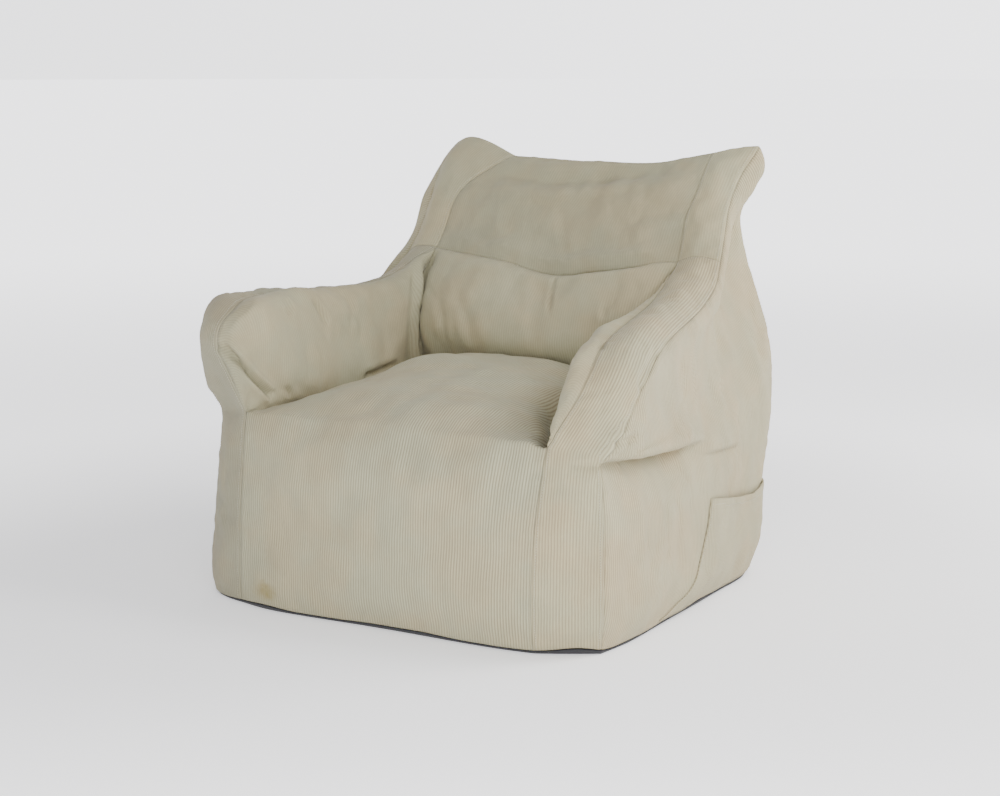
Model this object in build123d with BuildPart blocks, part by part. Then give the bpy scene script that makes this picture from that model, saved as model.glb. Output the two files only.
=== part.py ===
from build123d import *
import os
import numpy as np

# ---------------------------------------------------------------------------
# Bean bag armchair. Millimetres, +Z up, front toward -Y, centred on the origin,
# resting on Z = 0.
# ---------------------------------------------------------------------------

# Driving dimensions
CLOTH = 2.5            # corduroy cover thickness
SEAM_INSET = 3.5       # each cover panel stops this far short of its seam line
CENTRE_X = -3.0        # middle plane of the chair
BASE_THICK = 2.0       # base cloth
BASE_EDGE = 8.5        # height of the base cloth's turned-up edge
LINER = 1.5            # inner bag cloth
FILL_GAP = 0.6         # between the inner bag and its filling

ZIP_Y = 378.0          # outer face of the rear panel along the zip
ZIP_Z = 105.0          # height of the zip
ZIP_HALF = 240.0       # half length of the slot in the rear panel
ZIP_SLOT = 9.0         # height of the slot
CHAIN_HALF = 229.5     # half length of the chain
SLIDER_REST = 222.0    # slider's place at the closed end, from the middle plane

POCKET_GAP = 15.0      # how far the pocket stands off the side at its mouth

# Seam curves, as points they pass through
INNER_SEAM_LOW = {
    "left": [(-297, -377, 9), (-291, -385, 60), (-287, -389, 140), (-286, -383, 230), (-287, -373, 305), (-293,
             -359, 344)],
    "right": [(302, -377, 9), (306, -391, 60), (310, -397, 140), (314, -391, 230), (315, -369, 305), (313, -352,
              342)],
}
OUTER_SEAM_LOW = {
    "left": [(-395, -309, 9), (-399, -319, 60), (-395, -324, 140), (-388, -320, 230), (-384, -310, 305), (-383,
             -301, 335)],
    "right": [(399, -319, 9), (410, -333, 60), (414, -341, 140), (413, -343, 230), (408, -335, 305), (403, -325,
              332)],
}
INNER_SEAM_ARM = {
    "left": [(-293, -359, 344), (-314, -365, 395), (-334, -371, 438), (-346, -372, 474), (-338, -363, 500),
             (-325, -332, 521), (-319, -277, 530), (-309, -167, 531), (-300, -37, 527), (-288, 93, 533), (-276,
             173, 556), (-267, 228, 587)],
    "right": [(313, -352, 342), (327, -337, 374), (343, -309, 416), (347, -270, 456), (335, -212, 484), (320,
              -127, 502), (304, -27, 515), (287, 78, 533), (271, 163, 560), (261, 228, 587)],
}
OUTER_SEAM_ARM = {
    "left": [(-383, -301, 335), (-399, -302, 375), (-413, -300, 425), (-418, -300, 472), (-414, -285, 506),
             (-406, -242, 525), (-401, -157, 527), (-397, -47, 522), (-389, 63, 515), (-375, 153, 515), (-357,
             213, 538), (-345, 245, 575)],
    "right": [(403, -325, 332), (413, -289, 368), (418, -235, 418), (413, -172, 460), (404, -107, 487), (396, -27,
              506), (386, 51, 520), (374, 121, 537), (361, 181, 562), (349, 221, 592)],
}
INNER_SEAM_WING = {
    "left": [(-267, 228, 587), (-265, 261, 635), (-253, 283, 690), (-208, 305, 732), (-141, 323, 768)],
    "right": [(261, 228, 587), (255, 258, 632), (252, 279, 670), (260, 289, 696), (268, 300, 727), (270, 320, 756),
              (272, 347, 786)],
}
OUTER_SEAM_WING = {
    "left": [(-345, 245, 575), (-336, 288, 635), (-330, 313, 695), (-323, 335, 745), (-305, 355, 786)],
    "right": [(349, 221, 592), (335, 271, 645), (328, 305, 700), (334, 334, 752), (358, 363, 802)],
}
REAR_SEAM_LOW = {
    "left": [(-379, 315, 9), (-386, 331, 55), (-391, 345, 105)],
    "right": [(373, 315, 9), (380, 331, 55), (385, 345, 105)],
}
REAR_SEAM = {
    "left": [(-391, 345, 105), (-393, 357, 170), (-394, 368, 260), (-391, 373, 350), (-383, 375, 430), (-365,
             373, 510), (-344, 369, 580), (-333, 367, 640), (-331, 369, 690), (-333, 371, 745), (-305, 355, 786)],
    "right": [(385, 345, 105), (387, 357, 170), (388, 368, 260), (385, 373, 350), (377, 375, 430), (359, 373,
              510), (338, 369, 580), (325, 367, 640), (323, 369, 690), (354, 379, 752), (358, 363, 802)],
}
SEAT_SEAM = {
    "left": [(-293, -359, 344), (-283, -267, 342), (-273, -167, 338), (-265, -67, 334), (-261, 23, 332), (-257,
             93, 332), (-253, 151, 332)],
    "right": [(313, -352, 342), (289, -267, 332), (273, -167, 325), (263, -67, 323), (257, 23, 325), (252, 93,
              328), (247, 151, 332)],
}
LUMBAR_SIDE_SEAM = {
    "left": [(-253, 151, 332), (-265, 145, 380), (-273, 148, 450), (-273, 183, 530), (-267, 228, 587)],
    "right": [(247, 151, 332), (259, 145, 380), (267, 148, 450), (267, 183, 530), (261, 228, 587)],
}
BASE_SIDE = {
    "left": [(-395, -309, 9), (-407, -237, 9), (-410, -117, 9), (-411, 33, 9), (-408, 153, 9), (-403, 253, 9),
             (-379, 315, 9)],
    "right": [(399, -319, 9), (409, -237, 9), (407, -117, 9), (405, 33, 9), (402, 153, 9), (397, 253, 9), (373,
              315, 9)],
}
EAR_TOP = {
    "left": [(-141, 323, 768), (-183, 331, 786), (-228, 339, 801), (-271, 348, 803), (-305, 355, 786)],
    "right": [(272, 347, 786), (300, 352, 792), (330, 358, 799), (358, 363, 802)],
}
SEAT_REAR_SEAM = [(-253, 151, 332), (-133, 157, 328), (-3, 159, 326), (127, 157, 328), (247, 151, 332)]
LUMBAR_TOP_SEAM = [(-267, 228, 587), (-203, 211, 585), (-147, 198, 581), (-102, 193, 577), (-33, 191, 563), (27, 193,
                   556), (87, 193, 565), (157, 196, 576), (217, 208, 586), (261, 228, 587)]
TOP_EDGE = [(-141, 323, 768), (-43, 323, 765), (45, 325, 759), (107, 326, 757), (157, 329, 761), (217, 339, 774), (272,
            347, 786)]
ZIP_SEAM = [(-391, 345, 105), (-355, 367, 105), (-303, 377, 105), (-253, 378, 105), (-153, 378, 105), (-3, 378,
            105), (147, 378, 105), (247, 378, 105), (297, 377, 105), (349, 367, 105), (385, 345, 105)]
BASE_FRONT = [(-297, -377, 9), (-243, -391, 9), (-133, -393, 9), (-3, -387, 9), (127, -387, 9), (237, -385, 9),
              (302, -377, 9)]
BASE_REAR = [(-379, 315, 9), (-303, 333, 9), (-153, 337, 9), (-3, 338, 9), (147, 337, 9), (297, 333, 9), (373,
             315, 9)]
FRONT_CROWN = [(-6, -388, 9), (-3, -407, 60), (-3, -416, 140), (-3, -414, 230), (-3, -395, 310), (-3, -365, 352)]
SEAT_CROWN = [(-3, -365, 352), (-3, -307, 382), (-3, -217, 399), (-3, -107, 408), (-3, 3, 413), (-3, 78, 410),
              (-3, 119, 391), (-3, 140, 358), (-3, 159, 326)]
POCKET_FRONT = [(-140, 14), (-92, 28), (-50, 57), (-2, 118), (22, 190)]     # Y, Z
POCKET_REAR = [(301, 14), (316, 46), (327, 90), (336, 130), (344, 166)]     # Y, Z

# Sample counts along the seams
LOW, ARM, WING, STRIP, ACROSS, LUMBAR, ARM_FRONT, ZIP_ROWS = 38, 72, 26, 14, 68, 24, 26, 8


def spline_points(points, count):
    """Points evenly spaced along a natural cubic spline."""
    p = np.asarray(points, float)
    t = np.r_[0, np.cumsum(np.linalg.norm(np.diff(p, axis=0), axis=1) ** 0.7)]
    m = len(p)
    h = np.diff(t)
    a = np.zeros((m, m))
    b = np.zeros((m, p.shape[1]))
    a[0, 0] = a[-1, -1] = 1
    for i in range(1, m - 1):
        a[i, i - 1], a[i, i], a[i, i + 1] = h[i - 1], 2 * (h[i - 1] + h[i]), h[i]
        b[i] = 6 * ((p[i + 1] - p[i]) / h[i] - (p[i] - p[i - 1]) / h[i - 1])
    c = np.linalg.solve(a, b)

    def at(x):
        k = np.clip(np.searchsorted(t, x, side="right") - 1, 0, m - 2)
        hh, r, s = h[k][:, None], (t[k + 1] - x)[:, None], (x - t[k])[:, None]
        return (c[k] * r**3 / (6 * hh) + c[k + 1] * s**3 / (6 * hh)
                + (p[k] / hh - c[k] * hh / 6) * r + (p[k + 1] / hh - c[k + 1] * hh / 6) * s)

    x = np.linspace(0, t[-1], 40 * m)
    q = at(x)
    length = np.r_[0, np.cumsum(np.linalg.norm(np.diff(q, axis=0), axis=1))]
    return at(np.interp(np.linspace(0, length[-1], count + 1), length, x))


def coons(bottom, top, left, right):
    """A four-sided patch between its edges."""
    u = np.linspace(0, 1, len(bottom))[None, :, None]
    v = np.linspace(0, 1, len(left))[:, None, None]
    return ((1 - v) * bottom[None] + v * top[None] + (1 - u) * left[:, None] + u * right[:, None]
            - ((1 - u) * (1 - v) * bottom[0] + u * (1 - v) * bottom[-1] + (1 - u) * v * top[0] + u * v * top[-1]))


def puff(grid, height, pu, pv, direction):
    """Push a patch out, nothing at its edges."""
    u = np.linspace(0, 1, grid.shape[1])
    v = np.linspace(0, 1, grid.shape[0])
    f = np.asarray(height) * ((4 * u * (1 - u)) ** pu)[None, :] * ((4 * v * (1 - v)) ** pv)[:, None]
    return grid + np.asarray(direction, float) * f[..., None]


def grid_normals(grid):
    n = np.cross(np.gradient(grid, axis=1), np.gradient(grid, axis=0))
    return n / np.maximum(np.linalg.norm(n, axis=2, keepdims=True), 1e-9)


ALL_EDGES = (SEAM_INSET,) * 4


def trimmed(grid, columns, rows, inset=ALL_EDGES):
    """A patch resampled by length, stopping short of its left, right, bottom and top edges."""
    for axis, count, start, stop in ((1, columns, inset[0], inset[1]), (0, rows, inset[2], inset[3])):
        g = np.moveaxis(grid, axis, 0)
        length = np.concatenate([np.zeros((1, g.shape[1])),
                                 np.cumsum(np.linalg.norm(np.diff(g, axis=0), axis=2), axis=0)])
        out = np.zeros((count,) + g.shape[1:])
        for j in range(g.shape[1]):
            s = np.linspace(start, length[-1, j] - stop, count)
            for k in range(3):
                out[:, j, k] = np.interp(s, length[:, j], g[:, j, k])
        grid = np.moveaxis(out, 0, axis)
    return grid


def eased(grid, passes=40):
    """A patch with the tight bends along its length eased."""
    g = grid.copy()
    for _ in range(passes):
        g[1:-1] = 0.25 * g[:-2] + 0.5 * g[1:-1] + 0.25 * g[2:]
    return g


def cloth(grid, columns, rows, inward, inset=ALL_EDGES, thick=CLOTH):
    """The outer face of a panel, and the signed thickness that goes toward inward."""
    g = trimmed(grid, columns, rows, inset)
    face = Face.make_surface_from_array_of_points(
        [[Vector(*p) for p in row] for row in g], tol=0.6, min_deg=3, max_deg=3)
    side = face.normal_at(face.center()).dot(Vector(*inward))
    return face, thick if side > 0 else -thick


# ---------------------------------------------------------------------------
# Patches of the cover between its seams
# ---------------------------------------------------------------------------
SIDES = (("left", -1), ("right", 1))
inner, outer, seat_edge, lumbar_edge, rear_edge, base_edge, ear = {}, {}, {}, {}, {}, {}, {}
for side, _ in SIDES:
    inner[side] = np.vstack([spline_points(INNER_SEAM_LOW[side], LOW), spline_points(INNER_SEAM_ARM[side], ARM)[1:],
                             spline_points(INNER_SEAM_WING[side], WING)[1:]])
    outer[side] = np.vstack([spline_points(OUTER_SEAM_LOW[side], LOW), spline_points(OUTER_SEAM_ARM[side], ARM)[1:],
                             spline_points(OUTER_SEAM_WING[side], WING)[1:]])
    seat_edge[side] = spline_points(SEAT_SEAM[side], ARM)
    lumbar_edge[side] = spline_points(LUMBAR_SIDE_SEAM[side], LUMBAR)
    rear_edge[side] = np.vstack([spline_points(REAR_SEAM_LOW[side], ZIP_ROWS),
                                 spline_points(REAR_SEAM[side], LOW + ARM_FRONT - ZIP_ROWS)[1:]])
    base_edge[side] = spline_points(BASE_SIDE[side], ARM - ARM_FRONT + WING)
    ear[side] = spline_points(EAR_TOP[side], STRIP)
seat_rear = spline_points(SEAT_REAR_SEAM, ACROSS)
lumbar_top = spline_points(LUMBAR_TOP_SEAM, ACROSS)
top_edge = spline_points(TOP_EDGE, ACROSS)
base_front = spline_points(BASE_FRONT, ACROSS)
base_rear = spline_points(BASE_REAR, ACROSS + 2 * STRIP)
zip_seam = spline_points(ZIP_SEAM, ACROSS + 2 * STRIP)

# Front face and seat, one cut, from its side seams and its middle profile
crown = np.vstack([spline_points(FRONT_CROWN, LOW), spline_points(SEAT_CROWN, ARM)[1:]])
edge_l = np.vstack([inner["left"][: LOW + 1], seat_edge["left"][1:]])
edge_r = np.vstack([inner["right"][: LOW + 1], seat_edge["right"][1:]])
u = np.linspace(0, 1, ACROSS + 1)[None, :, None]
v = np.linspace(0, 1, LOW + ARM + 1)[:, None, None]
lift = crown - 0.5 * (edge_l + edge_r)
lift[:, 0] = 0
front_seat = edge_l[:, None] * (1 - u) + edge_r[:, None] * u + lift[:, None] * (1 - np.abs(2 * u - 1) ** 2.6)
front_seat = (front_seat + (base_front - front_seat[0])[None] * np.clip(1 - v / 0.25, 0, 1) ** 2
              + (seat_rear - front_seat[-1])[None] * np.clip(1 - (1 - v) / 0.2, 0, 1) ** 2)

strip, inner_arm, side_grid = {}, {}, {}
for side, sign in SIDES:
    # Strip over the front corner, the arm and the wing
    w = np.linspace(0, 1, STRIP + 1)[None, :, None]
    g = inner[side][:, None] * (1 - w) + outer[side][:, None] * w
    g[LOW + ARM:] += np.linspace(0, 1, WING + 1)[:, None, None] ** 3 * (ear[side] - g[-1])[None]
    height = np.interp(np.arange(LOW + ARM + WING + 1),
                       [0, 6, LOW - 6, LOW, LOW + 10, LOW + ARM - 12, LOW + ARM, LOW + ARM + 8, LOW + ARM + WING - 4,
                        LOW + ARM + WING], [2, 12, 12, 6, 20, 22, 14, 18, 12, 0])
    n = grid_normals(g) * sign
    n[LOW + ARM + WING - 3:] = n[LOW + ARM + WING - 4]
    strip[side] = g + n * (height[:, None] * (4 * w * (1 - w))[..., 0])[..., None]
    # Inner face of the arm
    low, high = seat_edge[side], inner[side][LOW: LOW + ARM + 1]
    q = np.linspace(0, 1, LUMBAR + 1)[:, None, None]
    g = low[None] * (1 - q) + high[None] * q
    g = g + np.linspace(0, 1, ARM + 1)[None, :, None] ** 3 * (lumbar_edge[side] - g[:, -1])[:, None]
    height = np.interp(np.linspace(0, 1, ARM + 1), [0, 0.08, 0.25, 0.45, 0.7, 0.9, 1],
                       [0, 30, 70, 74, 52, 22, 0] if sign > 0 else [0, 18, 42, 41, 40, 20, 0])
    q = q[:, 0, 0]
    if sign > 0:
        f = height[None, :] * (2.2 * q**1.25 * (1 - q) ** 0.62)[:, None]
        inner_arm[side] = g + np.array([-0.55, -0.05, 0.80]) * f[..., None]
    else:
        f = height[None, :] * ((4 * q * (1 - q)) ** 0.8)[:, None]
        inner_arm[side] = g + np.array([0.9, -0.05, 0.45]) * f[..., None]
    # Outer side
    side_grid[side] = puff(
        coons(base_edge[side], outer[side][LOW + ARM_FRONT:], outer[side][: LOW + ARM_FRONT + 1], rear_edge[side]),
        22 if sign > 0 else 28, 0.6, 0.6, (sign, 0, 0))

k = np.clip(np.linspace(0, 1, LUMBAR + 1) / 0.45, 0, 1)
lumbar = puff(coons(seat_rear, lumbar_top, lumbar_edge["left"], lumbar_edge["right"]),
              (34 * k * k * (3 - 2 * k))[:, None], 0.8, 0.8, (0, -1, 0.1))
headrest = puff(coons(lumbar_top, top_edge, inner["left"][LOW + ARM:], inner["right"][LOW + ARM:]),
                6, 0.8, 0.8, (0, -1, 0.3))
rear_lower = puff(coons(base_rear, zip_seam, rear_edge["left"][: ZIP_ROWS + 1], rear_edge["right"][: ZIP_ROWS + 1]),
                  10, 0.4, 1.0, (0, 1, 0))
rear_upper = puff(coons(zip_seam, np.vstack([ear["left"][::-1], top_edge[1:], ear["right"][1:]]),
                        rear_edge["left"][ZIP_ROWS:], rear_edge["right"][ZIP_ROWS:]), 38, 0.5, 1.0, (0, 1, 0))

# ---------------------------------------------------------------------------
# Cover panels
# ---------------------------------------------------------------------------
with BuildPart() as front_seat_panel:
    face, amount = cloth(eased(front_seat, 12), 7, 16, (0, 0.6, -0.8), inset=(SEAM_INSET, SEAM_INSET, 6.0, 58.0))
    thicken(face, amount=amount)

with BuildPart() as inner_arm_panel_left:
    face, amount = cloth(inner_arm["left"][:, 5:], 9, 5, (-1, 0, 0))
    thicken(face, amount=amount)

with BuildPart() as inner_arm_panel_right:
    face, amount = cloth(inner_arm["right"][:, 5:], 9, 5, (1, 0, 0))
    thicken(face, amount=amount)

with BuildPart() as arm_gusset_left:
    face, amount = cloth(eased(strip["left"][: LOW + ARM + 1]), 5, 14, (0.5, 0.6, -0.6),
                         inset=(SEAM_INSET, 12.0, SEAM_INSET, SEAM_INSET))
    thicken(face, amount=amount)

with BuildPart() as arm_gusset_right:
    face, amount = cloth(eased(strip["right"][: LOW + ARM + 1]), 5, 14, (-0.5, 0.6, -0.6),
                         inset=(SEAM_INSET, 12.0, SEAM_INSET, SEAM_INSET))
    thicken(face, amount=amount)

with BuildPart() as wing_gusset_left:
    face, amount = cloth(strip["left"][LOW + ARM:], 5, 5, (0, 1, -0.3))
    thicken(face, amount=amount)

with BuildPart() as wing_gusset_right:
    face, amount = cloth(strip["right"][LOW + ARM:], 5, 5, (0, 1, -0.3))
    thicken(face, amount=amount)

with BuildPart() as side_panel_left:
    face, amount = cloth(side_grid["left"], 9, 9, (1, 0, 0), inset=(13.0, SEAM_INSET, SEAM_INSET, 13.0))
    thicken(face, amount=amount)

with BuildPart() as side_panel_right:
    face, amount = cloth(side_grid["right"], 9, 9, (-1, 0, 0), inset=(13.0, SEAM_INSET, SEAM_INSET, 13.0))
    thicken(face, amount=amount)

with BuildPart() as lumbar_panel:
    face, amount = cloth(lumbar, 7, 5, (0, 1, 0))
    thicken(face, amount=amount)

with BuildPart() as headrest_panel:
    face, amount = cloth(headrest, 7, 5, (0, 1, 0))
    thicken(face, amount=amount)

# The rear is two cuts that meet along the zip seam; the slot for the zip is cut from both
with BuildPart() as rear_upper_panel:
    face, amount = cloth(rear_upper, 9, 7, (0, -1, 0), inset=(7.0, 7.0, 0.6, 7.0))
    thicken(face, amount=amount)
    with Locations((CENTRE_X, ZIP_Y, ZIP_Z)):
        Box(2 * ZIP_HALF, 30, ZIP_SLOT, mode=Mode.SUBTRACT)

with BuildPart() as rear_lower_panel:
    face, amount = cloth(rear_lower, 9, 4, (0, -1, 0), inset=(7.0, 7.0, 5.0, 0.6))
    thicken(face, amount=amount)
    with Locations((CENTRE_X, ZIP_Y, ZIP_Z)):
        Box(2 * ZIP_HALF, 30, ZIP_SLOT, mode=Mode.SUBTRACT)

# Base cloth: a flat bottom with its edge turned up under the cover
loop = np.vstack([
    base_front[4:-3:10], strip["right"][0][3:-2:4], base_edge["right"][2:-2:8], base_rear[::-1][3:-3:10],
    base_edge["left"][::-1][2:-2:8], strip["left"][0][::-1][3:-2:4]])
middle = loop[:, :2].mean(axis=0)
outline = [tuple(p) for p in loop[:, :2]]
inline = [tuple(middle + (p - middle) * (1 - 3.0 / np.linalg.norm(p - middle))) for p in loop[:, :2]]
with BuildPart() as base_panel:
    with BuildSketch(Plane.XY):
        with BuildLine():
            Spline(outline, periodic=True)
        make_face()
    extrude(amount=BASE_EDGE)
    with BuildSketch(Plane.XY.offset(BASE_THICK)):
        with BuildLine():
            Spline(inline, periodic=True)
        make_face()
    extrude(amount=BASE_EDGE, mode=Mode.SUBTRACT)

# Patch pocket low on the right side, open along its top
flat = side_grid["right"]


def side_x(y, z):
    """Where the right side is, at a height and a depth."""
    d = (flat[..., 1] - y) ** 2 + (flat[..., 2] - z) ** 2
    i, j = np.unravel_index(np.argmin(d), d.shape)
    i, j = min(max(i, 1), flat.shape[0] - 2), min(max(j, 1), flat.shape[1] - 2)
    along = np.stack([flat[i, j + 1] - flat[i, j - 1], flat[i + 1, j] - flat[i - 1, j]])
    s = np.linalg.solve(along[:, 1:].T, np.array([y, z]) - flat[i, j, 1:])
    return flat[i, j, 0] + s @ along[:, 0]


front_line, rear_line = spline_points(POCKET_FRONT, 16), spline_points(POCKET_REAR, 16)
pocket = np.zeros((17, 21, 3))
for i in range(17):
    for j in range(21):
        y, z = front_line[i] * (1 - j / 20) + rear_line[i] * (j / 20)
        rise = (i / 16) ** 2 * (3 - 2 * i / 16)
        pocket[i, j] = side_x(y, z) + 3.5 + POCKET_GAP * rise * np.sin(np.pi * j / 20) ** 0.8, y, z
with BuildPart() as side_pocket:
    face, amount = cloth(pocket, 7, 5, (1, 0, 0), inset=(0, 0, 0, 0), thick=2.2)
    thicken(face, amount=amount)

# ---------------------------------------------------------------------------
# Zip along the rear seam
# ---------------------------------------------------------------------------
TAPE_Y = ZIP_Y - 4.55
with BuildPart() as zip_tape_upper:
    with Locations((CENTRE_X, TAPE_Y, ZIP_Z + 5.8)):
        Box(2 * ZIP_HALF + 10, 0.7, 10.0)

with BuildPart() as zip_tape_lower:
    with Locations((CENTRE_X, TAPE_Y, ZIP_Z - 5.8)):
        Box(2 * ZIP_HALF + 10, 0.7, 10.0)

# Each chain row: a bead strip with its teeth cut as notches along the inner edge
COIL_Y = ZIP_Y - 2.8
with BuildPart() as zip_coil_upper:
    with BuildSketch(Plane(origin=(CENTRE_X - CHAIN_HALF, COIL_Y, ZIP_Z + 1.9), x_dir=(0, 1, 0), z_dir=(1, 0, 0))):
        RectangleRounded(2.0, 2.8, 0.8)
    extrude(amount=2 * CHAIN_HALF)

with BuildPart() as zip_coil_lower:
    with BuildSketch(Plane(origin=(CENTRE_X - CHAIN_HALF, COIL_Y, ZIP_Z - 1.9), x_dir=(0, 1, 0), z_dir=(1, 0, 0))):
        RectangleRounded(2.0, 2.8, 0.8)
    extrude(amount=2 * CHAIN_HALF)

with BuildPart() as zip_stops:
    for sign in (-1, 1):
        with Locations((CENTRE_X + sign * (CHAIN_HALF + 2.0), ZIP_Y - 2.6, ZIP_Z)):
            Box(3.0, 2.4, 7.0)
    fillet(zip_stops.edges().filter_by(Axis.Z), 0.6)

SX = CENTRE_X + SLIDER_REST
PIVOT_Y = ZIP_Y + 3.2
with BuildPart() as zip_slider:
    # outer plate, with its flanges beside the chain
    with BuildSketch(Plane(origin=(SX, ZIP_Y - 1.4, ZIP_Z), x_dir=(1, 0, 0), z_dir=(0, 1, 0))):
        RectangleRounded(12.0, 8.4, 1.6)
    extrude(amount=1.2)
    for sign in (-1, 1):
        with Locations((SX, ZIP_Y - 2.1, ZIP_Z + sign * 3.9)):
            Box(8.0, 1.6, 0.6)
    # post between the two rows, and the inner plate
    with Locations((SX, ZIP_Y - 3.8, ZIP_Z)):
        Box(4.0, 5.2, 0.6)
    with BuildSketch(Plane(origin=(SX, ZIP_Y - 7.0, ZIP_Z), x_dir=(1, 0, 0), z_dir=(0, 1, 0))):
        RectangleRounded(12.0, 8.4, 1.6)
    extrude(amount=1.2)
    # bridge that carries the pull
    with BuildSketch(Plane(origin=(SX, 0, ZIP_Z - 1.2), x_dir=(1, 0, 0), z_dir=(0, 0, 1))):
        with Locations((0, ZIP_Y + 2.5)):
            RectangleRounded(8.0, 5.6, 1.5)
        with Locations((0, PIVOT_Y)):
            Circle(1.0, mode=Mode.SUBTRACT)
    extrude(amount=2.4)

with BuildPart() as zip_pull:
    # pin through the bridge
    with BuildSketch(Plane(origin=(SX, PIVOT_Y, ZIP_Z - 3.2))):
        Circle(0.95)
    extrude(amount=6.4)
    # two cheeks and the tab
    with BuildSketch(Plane(origin=(SX, PIVOT_Y - 0.7, ZIP_Z), x_dir=(1, 0, 0), z_dir=(0, 1, 0))):
        with Locations((-18.5, 0)):
            RectangleRounded(27.0, 9.0, 3.0)
        for sign in (-1, 1):
            with Locations((-4.0, sign * 2.45)):
                Rectangle(9.6, 1.5)
        with Locations((-26.0, 0)):
            SlotOverall(7.0, 3.4, mode=Mode.SUBTRACT)
    extrude(amount=1.4)

# ---------------------------------------------------------------------------
# Inner bags and their filling
# ---------------------------------------------------------------------------
# Level sections: Z, X from, X to, Y from, Y to, corner radius
SEAT_BASE = [(4, -375, 379, -352, 321, 100), (60, -383, 393, -372, 345, 125), (140, -383, 397, -376, 364, 130),
             (230, -377, 397, -373, 370, 130), (285, -367, 387, -360, 369, 125), (316, -343, 364, -336, 360, 120)]
SEAT_TOP = [(290, -232, 226, -305, 105, 60), (350, -198, 192, -300, 98, 70), (378, -133, 127, -225, 66, 70)]
BACK_MAIN = [(330, -352, 346, 233, 366, 45), (430, -350, 344, 228, 376, 50), (520, -336, 330, 233, 370, 50),
             (590, -316, 310, 254, 358, 42), (650, -300, 294, 284, 346, 28), (698, -292, 288, 306, 338, 14),
             (732, -275, 274, 320, 334, 6)]
EAR_RIGHT = [(680, 200, 284, 306, 338, 12), (732, 214, 296, 327, 341, 6), (762, 248, 300, 337, 345, 3.5)]
EAR_LEFT = [(680, -288, -190, 306, 338, 12), (732, -286, -190, 324, 338, 6), (764, -272, -215, 330, 338, 3.5)]
LUMBAR_BAG = [(372, -200, 194, 166, 206, 16), (415, -222, 216, 146, 212, 28), (460, -226, 220, 134, 216, 36),
              (505, -222, 216, 150, 218, 30), (538, -200, 194, 184, 221, 16)]
# Upright sections: Y, X from, X to, Z from, Z to, corner radius
ARM_LEFT = [(-338, -375, -335, 395, 465, 16), (-285, -391, -310, 346, 500, 34), (-185, -391, -294, 342, 508, 40),
            (-65, -387, -286, 340, 505, 40), (35, -380, -280, 340, 500, 40), (125, -362, -278, 345, 505, 36),
            (196, -345, -290, 378, 528, 22)]
ARM_RIGHT = [(-288, 338, 390, 346, 378, 12), (-238, 323, 396, 342, 425, 30), (-165, 312, 394, 340, 460, 34),
             (-65, 300, 387, 340, 480, 38), (35, 290, 377, 340, 496, 40), (125, 280, 362, 345, 522, 36),
             (196, 288, 345, 378, 540, 22)]


def shrunk(sections, by):
    """The same run of sections, smaller by a wall all round."""
    out = []
    for i, (at, a0, a1, b0, b1, r) in enumerate(sections):
        at += by if i == 0 else -by if i == len(sections) - 1 else 0
        out.append((at, a0 + by, a1 - by, b0 + by, b1 - by, max(r - by, 0.8)))
    return out


def level(at):
    return Plane.XY.offset(at)


def upright(at):
    return Plane(origin=(0, at, 0), x_dir=(1, 0, 0), z_dir=(0, -1, 0))


def drawn(sections, plane):
    """Each section's plane, centre, size and corner radius."""
    return [(plane(at), ((a0 + a1) / 2, (b0 + b1) / 2), a1 - a0, b1 - b0, r) for at, a0, a1, b0, b1, r in sections]


# The seat bag is a base with a crown; the crown's foot is inside the base
with BuildPart() as seat_liner:
    for plane, centre, wide, tall, radius in drawn(SEAT_BASE, level):
        with BuildSketch(plane):
            with Locations(centre):
                RectangleRounded(wide, tall, radius)
    loft(ruled=True)
    for plane, centre, wide, tall, radius in drawn(SEAT_TOP, level):
        with BuildSketch(plane):
            with Locations(centre):
                RectangleRounded(wide, tall, radius)
    loft(ruled=True)
    for plane, centre, wide, tall, radius in drawn(shrunk(SEAT_BASE, LINER), level):
        with BuildSketch(plane):
            with Locations(centre):
                RectangleRounded(wide, tall, radius)
    loft(ruled=True, mode=Mode.SUBTRACT)
    for plane, centre, wide, tall, radius in drawn(shrunk(SEAT_TOP, LINER), level):
        with BuildSketch(plane):
            with Locations(centre):
                RectangleRounded(wide, tall, radius)
    loft(ruled=True, mode=Mode.SUBTRACT)

with BuildPart() as seat_fill:
    for plane, centre, wide, tall, radius in drawn(shrunk(SEAT_BASE, LINER + FILL_GAP), level):
        with BuildSketch(plane):
            with Locations(centre):
                RectangleRounded(wide, tall, radius)
    loft(ruled=True)
    for plane, centre, wide, tall, radius in drawn(shrunk(SEAT_TOP, LINER + FILL_GAP), level):
        with BuildSketch(plane):
            with Locations(centre):
                RectangleRounded(wide, tall, radius)
    loft(ruled=True)

with BuildPart() as back_liner:
    for lobe in (BACK_MAIN, EAR_LEFT, EAR_RIGHT):
        for plane, centre, wide, tall, radius in drawn(lobe, level):
            with BuildSketch(plane):
                with Locations(centre):
                    RectangleRounded(wide, tall, radius)
        loft(ruled=True)
    for lobe in (BACK_MAIN, EAR_LEFT, EAR_RIGHT):
        for plane, centre, wide, tall, radius in drawn(shrunk(lobe, LINER), level):
            with BuildSketch(plane):
                with Locations(centre):
                    RectangleRounded(wide, tall, radius)
        loft(ruled=True, mode=Mode.SUBTRACT)

with BuildPart() as back_fill:
    for lobe in (BACK_MAIN, EAR_LEFT, EAR_RIGHT):
        for plane, centre, wide, tall, radius in drawn(shrunk(lobe, LINER + FILL_GAP), level):
            with BuildSketch(plane):
                with Locations(centre):
                    RectangleRounded(wide, tall, radius)
        loft(ruled=True)

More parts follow.
